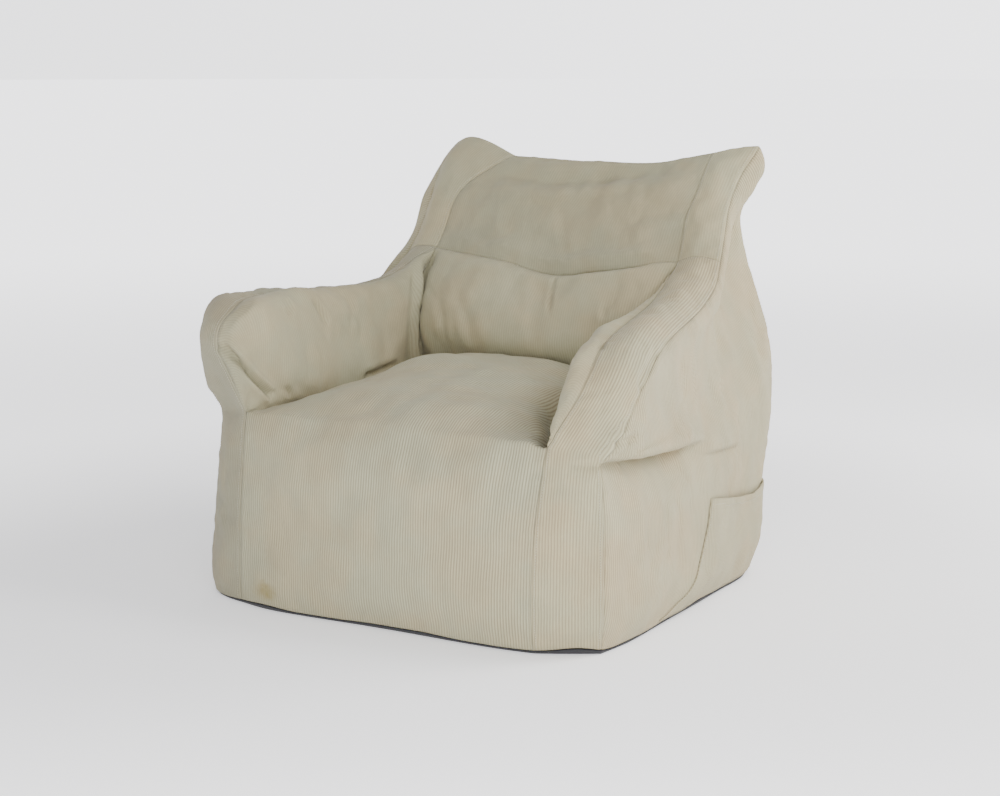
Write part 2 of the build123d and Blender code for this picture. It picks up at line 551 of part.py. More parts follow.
with BuildPart() as lumbar_liner:
    for plane, centre, wide, tall, radius in drawn(LUMBAR_BAG, level):
        with BuildSketch(plane):
            with Locations(centre):
                RectangleRounded(wide, tall, radius)
    loft(ruled=True)
    for plane, centre, wide, tall, radius in drawn(shrunk(LUMBAR_BAG, LINER), level):
        with BuildSketch(plane):
            with Locations(centre):
                RectangleRounded(wide, tall, radius)
    loft(ruled=True, mode=Mode.SUBTRACT)

with BuildPart() as lumbar_fill:
    for plane, centre, wide, tall, radius in drawn(shrunk(LUMBAR_BAG, LINER + FILL_GAP), level):
        with BuildSketch(plane):
            with Locations(centre):
                RectangleRounded(wide, tall, radius)
    loft(ruled=True)

with BuildPart() as arm_liner_left:
    for plane, centre, wide, tall, radius in drawn(ARM_LEFT, upright):
        with BuildSketch(plane):
            with Locations(centre):
                RectangleRounded(wide, tall, radius)
    loft(ruled=True)
    for plane, centre, wide, tall, radius in drawn(shrunk(ARM_LEFT, LINER), upright):
        with BuildSketch(plane):
            with Locations(centre):
                RectangleRounded(wide, tall, radius)
    loft(ruled=True, mode=Mode.SUBTRACT)

with BuildPart() as arm_fill_left:
    for plane, centre, wide, tall, radius in drawn(shrunk(ARM_LEFT, LINER + FILL_GAP), upright):
        with BuildSketch(plane):
            with Locations(centre):
                RectangleRounded(wide, tall, radius)
    loft(ruled=True)

with BuildPart() as arm_liner_right:
    for plane, centre, wide, tall, radius in drawn(ARM_RIGHT, upright):
        with BuildSketch(plane):
            with Locations(centre):
                RectangleRounded(wide, tall, radius)
    loft(ruled=True)
    for plane, centre, wide, tall, radius in drawn(shrunk(ARM_RIGHT, LINER), upright):
        with BuildSketch(plane):
            with Locations(centre):
                RectangleRounded(wide, tall, radius)
    loft(ruled=True, mode=Mode.SUBTRACT)

with BuildPart() as arm_fill_right:
    for plane, centre, wide, tall, radius in drawn(shrunk(ARM_RIGHT, LINER + FILL_GAP), upright):
        with BuildSketch(plane):
            with Locations(centre):
                RectangleRounded(wide, tall, radius)
    loft(ruled=True)

# ---------------------------------------------------------------------------
# Labels and export
# ---------------------------------------------------------------------------
os.makedirs("parts", exist_ok=True)
NODES = {
    "front_seat_panel": front_seat_panel, "inner_arm_panel_left": inner_arm_panel_left,
    "inner_arm_panel_right": inner_arm_panel_right, "arm_gusset_left": arm_gusset_left,
    "arm_gusset_right": arm_gusset_right, "wing_gusset_left": wing_gusset_left,
    "wing_gusset_right": wing_gusset_right, "side_panel_left": side_panel_left,
    "side_panel_right": side_panel_right, "lumbar_panel": lumbar_panel, "headrest_panel": headrest_panel,
    "rear_upper_panel": rear_upper_panel, "rear_lower_panel": rear_lower_panel, "base_panel": base_panel,
    "side_pocket": side_pocket, "zip_tape_upper": zip_tape_upper, "zip_tape_lower": zip_tape_lower,
    "zip_coil_upper": zip_coil_upper, "zip_coil_lower": zip_coil_lower, "zip_stops": zip_stops,
    "zip_slider": zip_slider, "zip_pull": zip_pull, "seat_liner": seat_liner, "seat_fill": seat_fill,
    "back_liner": back_liner, "back_fill": back_fill, "lumbar_liner": lumbar_liner, "lumbar_fill": lumbar_fill,
    "arm_liner_left": arm_liner_left, "arm_fill_left": arm_fill_left, "arm_liner_right": arm_liner_right,
    "arm_fill_right": arm_fill_right,
}
for name, node in NODES.items():
    node.part.label = name
    export_step(node.part, f"parts/{name}.step")
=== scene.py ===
import math

import bmesh
import bpy
import numpy as np
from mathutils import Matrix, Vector
from mathutils.bvhtree import BVHTree


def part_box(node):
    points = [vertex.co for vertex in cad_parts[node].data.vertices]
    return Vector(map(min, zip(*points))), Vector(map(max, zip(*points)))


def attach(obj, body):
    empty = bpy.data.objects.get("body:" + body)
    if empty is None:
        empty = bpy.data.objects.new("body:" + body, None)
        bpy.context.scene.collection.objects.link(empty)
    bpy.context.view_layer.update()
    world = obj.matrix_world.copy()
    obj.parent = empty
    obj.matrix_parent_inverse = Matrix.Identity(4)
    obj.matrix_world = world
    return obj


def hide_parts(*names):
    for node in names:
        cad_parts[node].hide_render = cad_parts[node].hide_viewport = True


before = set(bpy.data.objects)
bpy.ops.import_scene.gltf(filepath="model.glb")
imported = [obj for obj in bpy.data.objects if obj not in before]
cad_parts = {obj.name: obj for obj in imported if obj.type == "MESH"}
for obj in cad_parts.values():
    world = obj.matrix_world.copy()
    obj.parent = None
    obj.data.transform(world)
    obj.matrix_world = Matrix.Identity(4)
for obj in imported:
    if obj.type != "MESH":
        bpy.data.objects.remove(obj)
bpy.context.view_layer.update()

# ----------------------------------------------------------------------------
# Camera, from the vanishing lines and sizes in the photo
# ----------------------------------------------------------------------------
AZ, PITCH, FOCAL = math.radians(30.96), math.radians(9.95), 2000.0
EYE = np.array([1.8748, -3.1021, 0.9780])
FWD = np.array([-math.sin(AZ) * math.cos(PITCH), math.cos(AZ) * math.cos(PITCH), -math.sin(PITCH)])
RIGHT = np.array([math.cos(AZ), math.sin(AZ), 0.0])
UP = np.cross(RIGHT, FWD)

cam = bpy.data.objects.new("Camera", bpy.data.cameras.new("Camera"))
bpy.context.scene.collection.objects.link(cam)
cam.location = EYE
cam.rotation_euler = (math.pi / 2 - PITCH, 0, AZ)
cam.data.sensor_width = 36
cam.data.lens = 72
cam.data.dof.use_dof = False
bpy.context.scene.camera = cam

# ----------------------------------------------------------------------------
# Seam curves of the cover, metres
# ----------------------------------------------------------------------------
N_LOW = {"L": [(-0.297, -0.377, 0.009), (-0.291, -0.385, 0.06), (-0.287, -0.389, 0.14), (-0.286, -0.383, 0.23), (-0.287, -0.373, 0.305), (-0.293, -0.359, 0.344)],
    "R": [(0.302, -0.377, 0.009), (0.306, -0.391, 0.06), (0.31, -0.397, 0.14), (0.314, -0.391, 0.23), (0.315, -0.369, 0.305), (0.313, -0.352, 0.342)]}
O_LOW = {"L": [(-0.395, -0.309, 0.009), (-0.399, -0.319, 0.06), (-0.395, -0.324, 0.14), (-0.388, -0.32, 0.23), (-0.384, -0.31, 0.305), (-0.383, -0.301, 0.335)],
    "R": [(0.399, -0.319, 0.009), (0.41, -0.333, 0.06), (0.414, -0.341, 0.14), (0.413, -0.343, 0.23), (0.408, -0.335, 0.305), (0.403, -0.325, 0.332)]}
N_ARM = {"L": [(-0.293, -0.359, 0.344), (-0.314, -0.365, 0.395), (-0.334, -0.371, 0.438), (-0.346, -0.372, 0.474), (-0.340, -0.363, 0.5), (-0.338, -0.332, 0.522), (-0.352, -0.277, 0.530), (-0.360, -0.167, 0.530), (-0.354, -0.037, 0.524), (-0.333, 0.093, 0.526), (-0.300, 0.173, 0.553), (-0.267, 0.228, 0.587)],
    "R": [(0.313, -0.352, 0.342), (0.327, -0.337, 0.374), (0.343, -0.309, 0.416), (0.347, -0.27, 0.456), (0.335, -0.212, 0.484), (0.320, -0.127, 0.502), (0.304, -0.027, 0.515), (0.287, 0.078, 0.533), (0.271, 0.163, 0.560), (0.261, 0.228, 0.587)]}
O_ARM = {"L": [(-0.383, -0.301, 0.335), (-0.399, -0.302, 0.375), (-0.413, -0.3, 0.425), (-0.418, -0.3, 0.472), (-0.416, -0.285, 0.500), (-0.413, -0.242, 0.510), (-0.412, -0.157, 0.508), (-0.409, -0.047, 0.502), (-0.401, 0.063, 0.497), (-0.385, 0.153, 0.503), (-0.362, 0.213, 0.533), (-0.345, 0.245, 0.575)],
    "R": [(0.403, -0.325, 0.332), (0.413, -0.289, 0.368), (0.418, -0.235, 0.418), (0.413, -0.172, 0.46), (0.404, -0.107, 0.487), (0.396, -0.027, 0.506), (0.386, 0.051, 0.52), (0.374, 0.121, 0.537), (0.361, 0.181, 0.562), (0.349, 0.221, 0.592)]}
N_WING = {"L": [(-0.267, 0.228, 0.587), (-0.265, 0.261, 0.635), (-0.253, 0.283, 0.69), (-0.208, 0.305, 0.732), (-0.141, 0.323, 0.768)],
    "R": [(0.261, 0.228, 0.587), (0.255, 0.258, 0.632), (0.252, 0.279, 0.67), (0.260, 0.289, 0.696), (0.268, 0.300, 0.727), (0.270, 0.320, 0.756), (0.272, 0.347, 0.786)]}
O_WING = {"L": [(-0.345, 0.245, 0.575), (-0.336, 0.288, 0.635), (-0.33, 0.313, 0.695), (-0.323, 0.335, 0.745), (-0.305, 0.355, 0.786)],
    "R": [(0.349, 0.221, 0.592), (0.335, 0.271, 0.645), (0.328, 0.305, 0.7), (0.334, 0.334, 0.752), (0.358, 0.363, 0.802)]}
S10_LOW = {"L": [(-0.379, 0.315, 0.009), (-0.386, 0.331, 0.055), (-0.391, 0.345, 0.105)],
    "R": [(0.373, 0.315, 0.009), (0.38, 0.331, 0.055), (0.385, 0.345, 0.105)]}
S10 = {"L": [(-0.391, 0.345, 0.105), (-0.393, 0.357, 0.17), (-0.394, 0.368, 0.26), (-0.391, 0.373, 0.35), (-0.383, 0.375, 0.43), (-0.365, 0.373, 0.51), (-0.344, 0.369, 0.58), (-0.333, 0.367, 0.64), (-0.331, 0.369, 0.69), (-0.333, 0.371, 0.745), (-0.305, 0.355, 0.786)],
    "R": [(0.385, 0.345, 0.105), (0.387, 0.357, 0.17), (0.388, 0.368, 0.26), (0.385, 0.373, 0.35), (0.377, 0.375, 0.43), (0.359, 0.373, 0.51), (0.338, 0.369, 0.58), (0.325, 0.367, 0.64), (0.323, 0.369, 0.69), (0.354, 0.379, 0.752), (0.358, 0.363, 0.802)]}
S5 = {"L": [(-0.293, -0.359, 0.344), (-0.283, -0.267, 0.342), (-0.273, -0.167, 0.338), (-0.265, -0.067, 0.334), (-0.261, 0.023, 0.332), (-0.257, 0.093, 0.332), (-0.253, 0.151, 0.332)],
    "R": [(0.313, -0.352, 0.342), (0.289, -0.267, 0.332), (0.273, -0.167, 0.325), (0.263, -0.067, 0.323), (0.257, 0.023, 0.325), (0.252, 0.093, 0.328), (0.247, 0.151, 0.332)]}
S8 = {"L": [(-0.253, 0.151, 0.332), (-0.265, 0.145, 0.38), (-0.273, 0.148, 0.45), (-0.273, 0.183, 0.53), (-0.267, 0.228, 0.587)],
    "R": [(0.247, 0.151, 0.332), (0.259, 0.145, 0.38), (0.267, 0.148, 0.45), (0.267, 0.183, 0.53), (0.261, 0.228, 0.587)]}
BASE_SIDE = {"L": [(-0.395, -0.309, 0.009), (-0.407, -0.237, 0.009), (-0.41, -0.117, 0.009), (-0.411, 0.033, 0.009), (-0.408, 0.153, 0.009), (-0.403, 0.253, 0.009), (-0.379, 0.315, 0.009)],
    "R": [(0.399, -0.319, 0.009), (0.409, -0.237, 0.009), (0.407, -0.117, 0.009), (0.405, 0.033, 0.009), (0.402, 0.153, 0.009), (0.397, 0.253, 0.009), (0.373, 0.315, 0.009)]}
EAR_TOP = {"L": [(-0.141, 0.323, 0.768), (-0.183, 0.331, 0.786), (-0.228, 0.339, 0.801), (-0.271, 0.348, 0.803), (-0.305, 0.355, 0.786)],
    "R": [(0.272, 0.347, 0.786), (0.300, 0.352, 0.792), (0.330, 0.358, 0.799), (0.358, 0.363, 0.802)]}
S6 = [(-0.253, 0.151, 0.332), (-0.133, 0.157, 0.328), (-0.003, 0.159, 0.326), (0.127, 0.157, 0.328), (0.247, 0.151, 0.332)]
S7 = [(-0.267, 0.228, 0.587), (-0.203, 0.211, 0.585), (-0.147, 0.198, 0.581), (-0.102, 0.193, 0.577), (-0.033, 0.191, 0.563), (0.027, 0.193, 0.556), (0.087, 0.193, 0.565), (0.157, 0.196, 0.576), (0.217, 0.208, 0.586), (0.261, 0.228, 0.587)]
S9 = [(-0.141, 0.323, 0.768), (-0.043, 0.323, 0.765), (0.045, 0.325, 0.759), (0.107, 0.326, 0.757), (0.157, 0.329, 0.761), (0.217, 0.339, 0.774), (0.272, 0.347, 0.786)]
S11 = [(-0.391, 0.345, 0.105), (-0.355, 0.367, 0.105), (-0.303, 0.377, 0.105), (-0.253, 0.378, 0.105), (-0.153, 0.378, 0.105), (-0.003, 0.378, 0.105), (0.147, 0.378, 0.105), (0.247, 0.378, 0.105), (0.297, 0.377, 0.105), (0.349, 0.367, 0.105), (0.385, 0.345, 0.105)]
BASE_FRONT = [(-0.297, -0.377, 0.009), (-0.243, -0.391, 0.009), (-0.133, -0.393, 0.009), (-0.003, -0.387, 0.009), (0.127, -0.387, 0.009), (0.237, -0.385, 0.009), (0.302, -0.377, 0.009)]
BASE_REAR = [(-0.379, 0.315, 0.009), (-0.303, 0.333, 0.009), (-0.153, 0.337, 0.009), (-0.003, 0.338, 0.009), (0.147, 0.337, 0.009), (0.297, 0.333, 0.009), (0.373, 0.315, 0.009)]
C_LOW = [(-0.006, -0.388, 0.009), (-0.003, -0.407, 0.06), (-0.003, -0.416, 0.14), (-0.003, -0.414, 0.23), (-0.003, -0.395, 0.31), (-0.003, -0.365, 0.352)]
C_SEAT = [(-0.003, -0.365, 0.352), (-0.003, -0.307, 0.382), (-0.003, -0.217, 0.399), (-0.003, -0.107, 0.408), (-0.003, 0.003, 0.413), (-0.003, 0.078, 0.41), (-0.003, 0.119, 0.391), (-0.003, 0.14, 0.358), (-0.003, 0.159, 0.326)]

N1, N2, N3, N4, N5, N7, SA, NZ = 38, 72, 26, 14, 68, 24, 26, 8
WALE = 0.0050


def spline(P, n):
    """n + 1 points evenly spaced along a natural cubic spline."""
    P = np.asarray(P, float)
    t = np.r_[0, np.cumsum(np.linalg.norm(np.diff(P, axis=0), axis=1) ** 0.7)]
    m = len(P)
    h = np.diff(t)
    A = np.zeros((m, m))
    B = np.zeros((m, P.shape[1]))
    A[0, 0] = A[-1, -1] = 1
    for i in range(1, m - 1):
        A[i, i - 1], A[i, i], A[i, i + 1] = h[i - 1], 2 * (h[i - 1] + h[i]), h[i]
        B[i] = 6 * ((P[i + 1] - P[i]) / h[i] - (P[i] - P[i - 1]) / h[i - 1])
    M = np.linalg.solve(A, B)

    def ev(x):
        k = np.clip(np.searchsorted(t, x, side="right") - 1, 0, m - 2)
        hh, a, b = h[k][:, None], (t[k + 1] - x)[:, None], (x - t[k])[:, None]
        return (M[k] * a**3 / (6 * hh) + M[k + 1] * b**3 / (6 * hh)
                + (P[k] / hh - M[k] * hh / 6) * a + (P[k + 1] / hh - M[k + 1] * hh / 6) * b)

    xs = np.linspace(0, t[-1], 40 * m)
    Q = ev(xs)
    L = np.r_[0, np.cumsum(np.linalg.norm(np.diff(Q, axis=0), axis=1))]
    return ev(np.interp(np.linspace(0, L[-1], n + 1), L, xs))


def coons(b, t, l, r):
    u = np.linspace(0, 1, len(b))[None, :, None]
    v = np.linspace(0, 1, len(l))[:, None, None]
    return ((1 - v) * b[None] + v * t[None] + (1 - u) * l[:, None] + u * r[:, None]
            - ((1 - u) * (1 - v) * b[0] + u * (1 - v) * b[-1] + (1 - u) * v * t[0] + u * v * t[-1]))


def grid_normals(G):
    n = np.cross(np.gradient(G, axis=1), np.gradient(G, axis=0))
    return n / np.maximum(np.linalg.norm(n, axis=2, keepdims=True), 1e-9)


def puff(G, h, pu, pv, d):
    u = np.linspace(0, 1, G.shape[1])
    v = np.linspace(0, 1, G.shape[0])
    f = np.asarray(h) * ((4 * u * (1 - u)) ** pu)[None, :] * ((4 * v * (1 - v)) ** pv)[:, None]
    return G + np.asarray(d, float) * f[..., None]


def smooth01(x):
    x = np.clip(x, 0, 1)
    return x * x * (3 - 2 * x)


def patches():
    """The cover's panels between their seams, each a grid of points. Rows go up or along, columns across."""
    P, C = {}, {}
    for s in "LR":
        C["n" + s] = np.vstack([spline(N_LOW[s], N1), spline(N_ARM[s], N2)[1:], spline(N_WING[s], N3)[1:]])
        C["o" + s] = np.vstack([spline(O_LOW[s], N1), spline(O_ARM[s], N2)[1:], spline(O_WING[s], N3)[1:]])
        C["s5" + s], C["s8" + s] = spline(S5[s], N2), spline(S8[s], N7)
        C["s10" + s] = np.vstack([spline(S10_LOW[s], NZ), spline(S10[s], N1 + SA - NZ)[1:]])
        C["bs" + s], C["ear" + s] = spline(BASE_SIDE[s], N2 - SA + N3), spline(EAR_TOP[s], N4)
    C["s6"], C["s7"], C["s9"], C["bf"] = spline(S6, N5), spline(S7, N5), spline(S9, N5), spline(BASE_FRONT, N5)
    C["br"], C["s11"] = spline(BASE_REAR, N5 + 2 * N4), spline(S11, N5 + 2 * N4)
    # front and seat
    crown = np.vstack([spline(C_LOW, N1), spline(C_SEAT, N2)[1:]])
    L = np.vstack([C["nL"][: N1 + 1], C["s5L"][1:]])
    R = np.vstack([C["nR"][: N1 + 1], C["s5R"][1:]])
    u = np.linspace(0, 1, N5 + 1)[None, :, None]
    v = np.linspace(0, 1, len(L))[:, None, None]
    d = crown - 0.5 * (L + R)
    d[:, 0] = 0
    G = L[:, None] * (1 - u) + R[:, None] * u + d[:, None] * (1 - np.abs(2 * u - 1) ** 2.6)
    G = (G + (C["bf"] - G[0])[None] * np.clip(1 - v / 0.25, 0, 1) ** 2
         + (C["s6"] - G[-1])[None] * np.clip(1 - (1 - v) / 0.2, 0, 1) ** 2)
    P["front_seat_panel"] = G
    for s, side, sg in (("L", "left", -1), ("R", "right", 1)):
        n, o = C["n" + s], C["o" + s]
        w = np.linspace(0, 1, N4 + 1)[None, :, None]
        S = n[:, None] * (1 - w) + o[:, None] * w
        S[N1 + N2:] += np.linspace(0, 1, N3 + 1)[:, None, None] ** 3 * (C["ear" + s] - S[-1])[None]
        hb = np.interp(np.arange(N1 + N2 + N3 + 1),
                       [0, 6, N1 - 6, N1, N1 + 10, N1 + N2 - 12, N1 + N2, N1 + N2 + 8, N1 + N2 + N3 - 4, N1 + N2 + N3],
                       [.002, .012, .012, .006, .020, .022, .014, .018, .012, 0] if sg > 0 else [.012, .014, .012, .006, .022, .012, .012, .018, .012, 0])
        nn = grid_normals(S) * sg
        nn[N1 + N2 + N3 - 3:] = nn[N1 + N2 + N3 - 4]
        S = S + nn * (hb[:, None] * (4 * w * (1 - w))[..., 0])[..., None]
        P["arm_gusset_" + side], P["wing_gusset_" + side] = S[: N1 + N2 + 1], S[N1 + N2:]
        a, b = C["s5" + s], n[N1: N1 + N2 + 1]
        q = np.linspace(0, 1, N7 + 1)
        A = a[None] * (1 - q[:, None, None]) + b[None] * q[:, None, None]
        A = A + np.linspace(0, 1, N2 + 1)[None, :, None] ** 3 * (C["s8" + s] - A[:, -1])[:, None]
        hh = np.interp(np.linspace(0, 1, N2 + 1), [0, .08, .25, .45, .7, .9, 1],
                       [0, .018, .042, .042, .040, .028, 0] if sg < 0 else [0, .030, .070, .074, .052, .022, 0])
        way = np.array([.9, -.05, .45] if sg < 0 else [-.55, -.05, .80])
        full = ((4 * q * (1 - q)) ** .8 if sg < 0 else 2.2 * q ** 1.25 * (1 - q) ** .62)
        A = A + way * (hh[None, :] * full[:, None])[..., None]
        if sg < 0:
            A = A + np.array([.95, 0, .9]) * (.52 * hh[None, :] * (6.2 * q**4 * (1 - q) ** .62)[:, None])[..., None]
        P["inner_arm_panel_" + side] = A
        D = coons(C["bs" + s], o[N1 + SA:], o[: N1 + SA + 1], C["s10" + s])
        P["side_panel_" + side] = puff(D, .022 if sg > 0 else .028, .6, .6, (sg, 0, 0))
    k = smooth01(np.linspace(0, 1, N7 + 1) / .45)
    P["lumbar_panel"] = puff(coons(C["s6"], C["s7"], C["s8L"], C["s8R"]), (.034 * k)[:, None], .5, .8, (0, -1, .1))
    P["headrest_panel"] = puff(coons(C["s7"], C["s9"], C["nL"][N1 + N2:], C["nR"][N1 + N2:]), .006, .8, .8, (0, -1, .3))
    P["rear_lower_panel"] = puff(coons(C["br"], C["s11"], C["s10L"][: NZ + 1], C["s10R"][: NZ + 1]), .010, .4, 1.0, (0, 1, 0))
    top = np.vstack([C["earL"][::-1], C["s9"][1:], C["earR"][1:]])
    P["rear_upper_panel"] = puff(coons(C["s11"], top, C["s10L"][NZ:], C["s10R"][NZ:]), .038, .5, 1.0, (0, 1, 0))
    front = np.vstack([P["arm_gusset_left"][0][::-1], C["bf"][1:], P["arm_gusset_right"][0][1:]])
    P["base_panel"] = coons(front, C["br"], C["bsL"], C["bsR"])
    return P


P = patches()
NAMES = list(P)
BASE = NAMES.index("base_panel")


def lengths(G, axis):
    d = np.linalg.norm(np.diff(G, axis=axis), axis=2)
    z = np.zeros((G.shape[0], 1)) if axis == 1 else np.zeros((1, G.shape[1]))
    return np.concatenate([z, np.cumsum(d, axis=axis)], axis=axis)


def cut_coords(name, G):
    """Place across and along the ribs, and distance from and along the nearest seam, at every grid point."""
    cu, cv = lengths(G, 1), lengths(G, 0)
    mid = G.shape[1] // 2
    across = cu - cu[:, mid: mid + 1]
    if name.startswith(("side", "inner")):
        across = across + G[:, mid: mid + 1, 1]
    dist = np.stack([cu, cu[:, -1:] - cu, cv, cv[-1:] - cv])
    along = np.stack([np.broadcast_to(cv[:, :1], cu.shape), np.broadcast_to(cv[:, -1:], cu.shape),
                      np.broadcast_to(cu[:1], cu.shape), np.broadcast_to(cu[-1:], cu.shape)])
    k = dist.argmin(0)[None]
    return np.stack([across, cv], -1), np.stack([np.take_along_axis(dist, k, 0)[0], np.take_along_axis(along, k, 0)[0]], -1)


# ----------------------------------------------------------------------------
# One closed mesh of all the panels
# ----------------------------------------------------------------------------
allpts = np.vstack([G.reshape(-1, 3) for G in P.values()])
_, first, weld = np.unique(np.round(allpts / 2e-5).astype(np.int64), axis=0, return_index=True, return_inverse=True)
weld = weld.reshape(-1)
places = allpts[first]
# ears, arm ends and the foot of the cover stand a little fuller than the seams alone give
for centre, reach, by, floor_too in (((0.345, 0.365, 0.795), 0.060, (0.001, 0.000, -0.001), 0), ((0.352, 0.368, 0.758), 0.036, (0.011, 0.000, 0.000), 0), ((0.335, 0.350, 0.712), 0.040, (0.009, 0.000, 0.000), 0), ((-0.412, -0.300, 0.385), 0.060, (-0.017, -0.010, 0.000), 0),
                                     ((0.415, 0.300, 0.400), 0.140, (0.009, 0.002, 0.000), 0), ((-0.410, -0.290, 0.515), 0.045, (-0.008, -0.004, 0.010), 0),
                                     ((-0.385, -0.325, 0.020), 0.070, (-0.008, -0.008, 0.000), 1), ((-0.115, -0.055, 0.405), 0.090, (0.000, 0.000, 0.014), 0), ((-0.272, 0.195, 0.545), 0.045, (-0.011, 0.000, 0.000), 0), ((0.400, 0.320, 0.190), 0.080, (-0.006, -0.003, 0.000), 0),
                                     ((-0.415, -0.300, 0.455), 0.040, (0.006, 0.003, 0.000), 0)):
    near = np.exp(-(np.linalg.norm(places - np.array(centre), axis=1) / reach) ** 2) * ((places[:, 2] > 0.0095) | bool(floor_too))
    places = places + near[:, None] * np.array(by)
GRID = {}
faces, owner, uv_cut, uv_seam = [], [], [], []
at = 0
for k, (name, G) in enumerate(P.items()):
    nv, nu = G.shape[:2]
    idx = weld[at: at + nv * nu].reshape(nv, nu)
    at += nv * nu
    GRID[name] = idx
    cut, seam = cut_coords(name, G)
    for i in range(nv - 1):
        for j in range(nu - 1):
            ring, seen = [], set()
            for a, b in ((i, j), (i, j + 1), (i + 1, j + 1), (i + 1, j)):
                if idx[a, b] not in seen:
                    seen.add(idx[a, b])
                    ring.append((a, b))
            if len(ring) < 3:
                continue
            faces.append([int(idx[a, b]) for a, b in ring])
            owner.append(k)
            uv_cut += [cut[a, b] for a, b in ring]
            uv_seam += [seam[a, b] for a, b in ring]

me = bpy.data.meshes.new("cover")
me.from_pydata(places.tolist(), [], faces)
for name in NAMES:
    me.materials.append(bpy.data.materials.new("tmp_" + name))
me.polygons.foreach_set("material_index", owner)
for layer, data in (("cut", uv_cut), ("seam", uv_seam)):
    me.uv_layers.new(name=layer).data.foreach_set("uv", np.asarray(data, np.float32).reshape(-1))
bm = bmesh.new()
bm.from_mesh(me)
bmesh.ops.recalc_face_normals(bm, faces=bm.faces)
if bm.calc_volume(signed=True) < 0:
    bmesh.ops.reverse_faces(bm, faces=bm.faces)
bm.to_mesh(me)
open_edges = sum(not e.is_manifold for e in bm.edges)
bm.free()
print("cover mesh", len(me.vertices), "points,", open_edges, "edges not closed")
cover = bpy.data.objects.new("cover", me)
bpy.context.scene.collection.objects.link(cover)

# ----------------------------------------------------------------------------
# Fill pressure: the closed cover is blown up a little as cloth, held softly at its seams
# ----------------------------------------------------------------------------
def seam_distance():
    """Distance from the nearest seam for each point of the cover."""
    d = np.full(len(places), 1.0)
    for name, G in P.items():
        _, seam = cut_coords(name, G)
        np.minimum.at(d, GRID[name].reshape(-1), seam[..., 0].reshape(-1))
    return d


SLACK = {
    "front_seat_panel": 0.20, "arm_gusset_left": 0.40, "arm_gusset_right": 0.40, "wing_gusset_left": 0.45, "wing_gusset_right": 0.45,
    "inner_arm_panel_left": 0.32, "inner_arm_panel_right": 0.40, "side_panel_left": 0.32, "side_panel_right": 0.30,
    "lumbar_panel": 0.40, "headrest_panel": 0.38, "rear_lower_panel": 0.25, "rear_upper_panel": 0.40, "base_panel": 0.0,
}


def inflate():
    d = seam_distance()
    w = 0.20 + 0.75 * np.exp(-(d / 0.018) ** 2)
    for name in ("inner_arm_panel_left", "inner_arm_panel_right"):
        w[GRID[name][0]] = 0.96
        w[GRID[name][:, -1]] = 0.96
    w[GRID["lumbar_panel"][0]] = 0.97
    w[GRID["base_panel"].reshape(-1)] = 1.0
    rear = GRID["rear_lower_panel"][-1]
    w[rear] = 1.0
    for k in range(1, 4):
        w[GRID["rear_lower_panel"][-1 - k]] = np.maximum(w[GRID["rear_lower_panel"][-1 - k]], 1.0 - 0.2 * k)
        w[GRID["rear_upper_panel"][k]] = np.maximum(w[GRID["rear_upper_panel"][k]], 1.0 - 0.2 * k)
    hold = cover.vertex_groups.new(name="hold")
    take = cover.vertex_groups.new(name="take")
    near = np.exp(-(d / 0.010) ** 2)
    for i in range(len(places)):
        hold.add([i], float(w[i]), "REPLACE")
        take.add([i], float(near[i]), "REPLACE")
    mod = cover.modifiers.new("Cloth", "CLOTH")
    s = mod.settings
    s.quality = 3
    s.mass = 0.35
    s.air_damping = 3.0
    s.tension_stiffness = s.compression_stiffness = 12
    s.shear_stiffness = 4
    s.bending_stiffness = 10.0
    s.tension_damping = s.compression_damping = 12
    s.shear_damping = 5
    s.use_pressure = True
    s.uniform_pressure_force = 0.3
    s.vertex_group_mass = "hold"
    s.pin_stiffness = 0.6
    s.vertex_group_shrink = "take"
    s.shrink_min = -0.03
    s.shrink_max = 0.05
    s.effector_weights.gravity = 0.15
    mod.collision_settings.use_collision = False
    mod.collision_settings.use_self_collision = False
    mod.point_cache.frame_start, mod.point_cache.frame_end = 1, 12
    sc = bpy.context.scene
    for f in range(1, 11):
        sc.frame_set(f)
    ev = cover.evaluated_get(bpy.context.evaluated_depsgraph_get())
    co = np.empty(len(places) * 3, np.float32)
    ev.data.vertices.foreach_get("co", co)
    cover.modifiers.remove(mod)
    sc.frame_set(1)
    move = co.reshape(-1, 3).astype(float) - places
    far = np.linalg.norm(move, axis=1, keepdims=True)
    cap = 0.016
    move = move * np.minimum(1.0, cap * np.tanh(far / cap) / np.maximum(far, 1e-9))
    # how much of it shows: little on the full front, more on the slacker back and arms
    gain = np.zeros(len(places))
    count = np.zeros(len(places))
    for name, g in SLACK.items():
        np.add.at(gain, GRID[name].reshape(-1), g)
        np.add.at(count, GRID[name].reshape(-1), 1)
    return move * (gain / np.maximum(count, 1))[:, None]


moved = inflate()
print("cloth moved", np.percentile(np.linalg.norm(moved, axis=1), [50, 90, 99, 100]).round(4))
me.vertices.foreach_set("co", (places + moved).astype(np.float32).reshape(-1))
me.update()

DEFORMED = places + moved

# one level of subdivision, kept in the mesh
mod = cover.modifiers.new("Subdivision", "SUBSURF")
mod.levels = mod.render_levels = 1
mod.uv_smooth = "NONE"
mod.boundary_smooth = "ALL"
dg = bpy.context.evaluated_depsgraph_get()
fine = bpy.data.meshes.new_from_object(cover.evaluated_get(dg), depsgraph=dg)
bpy.data.objects.remove(cover)

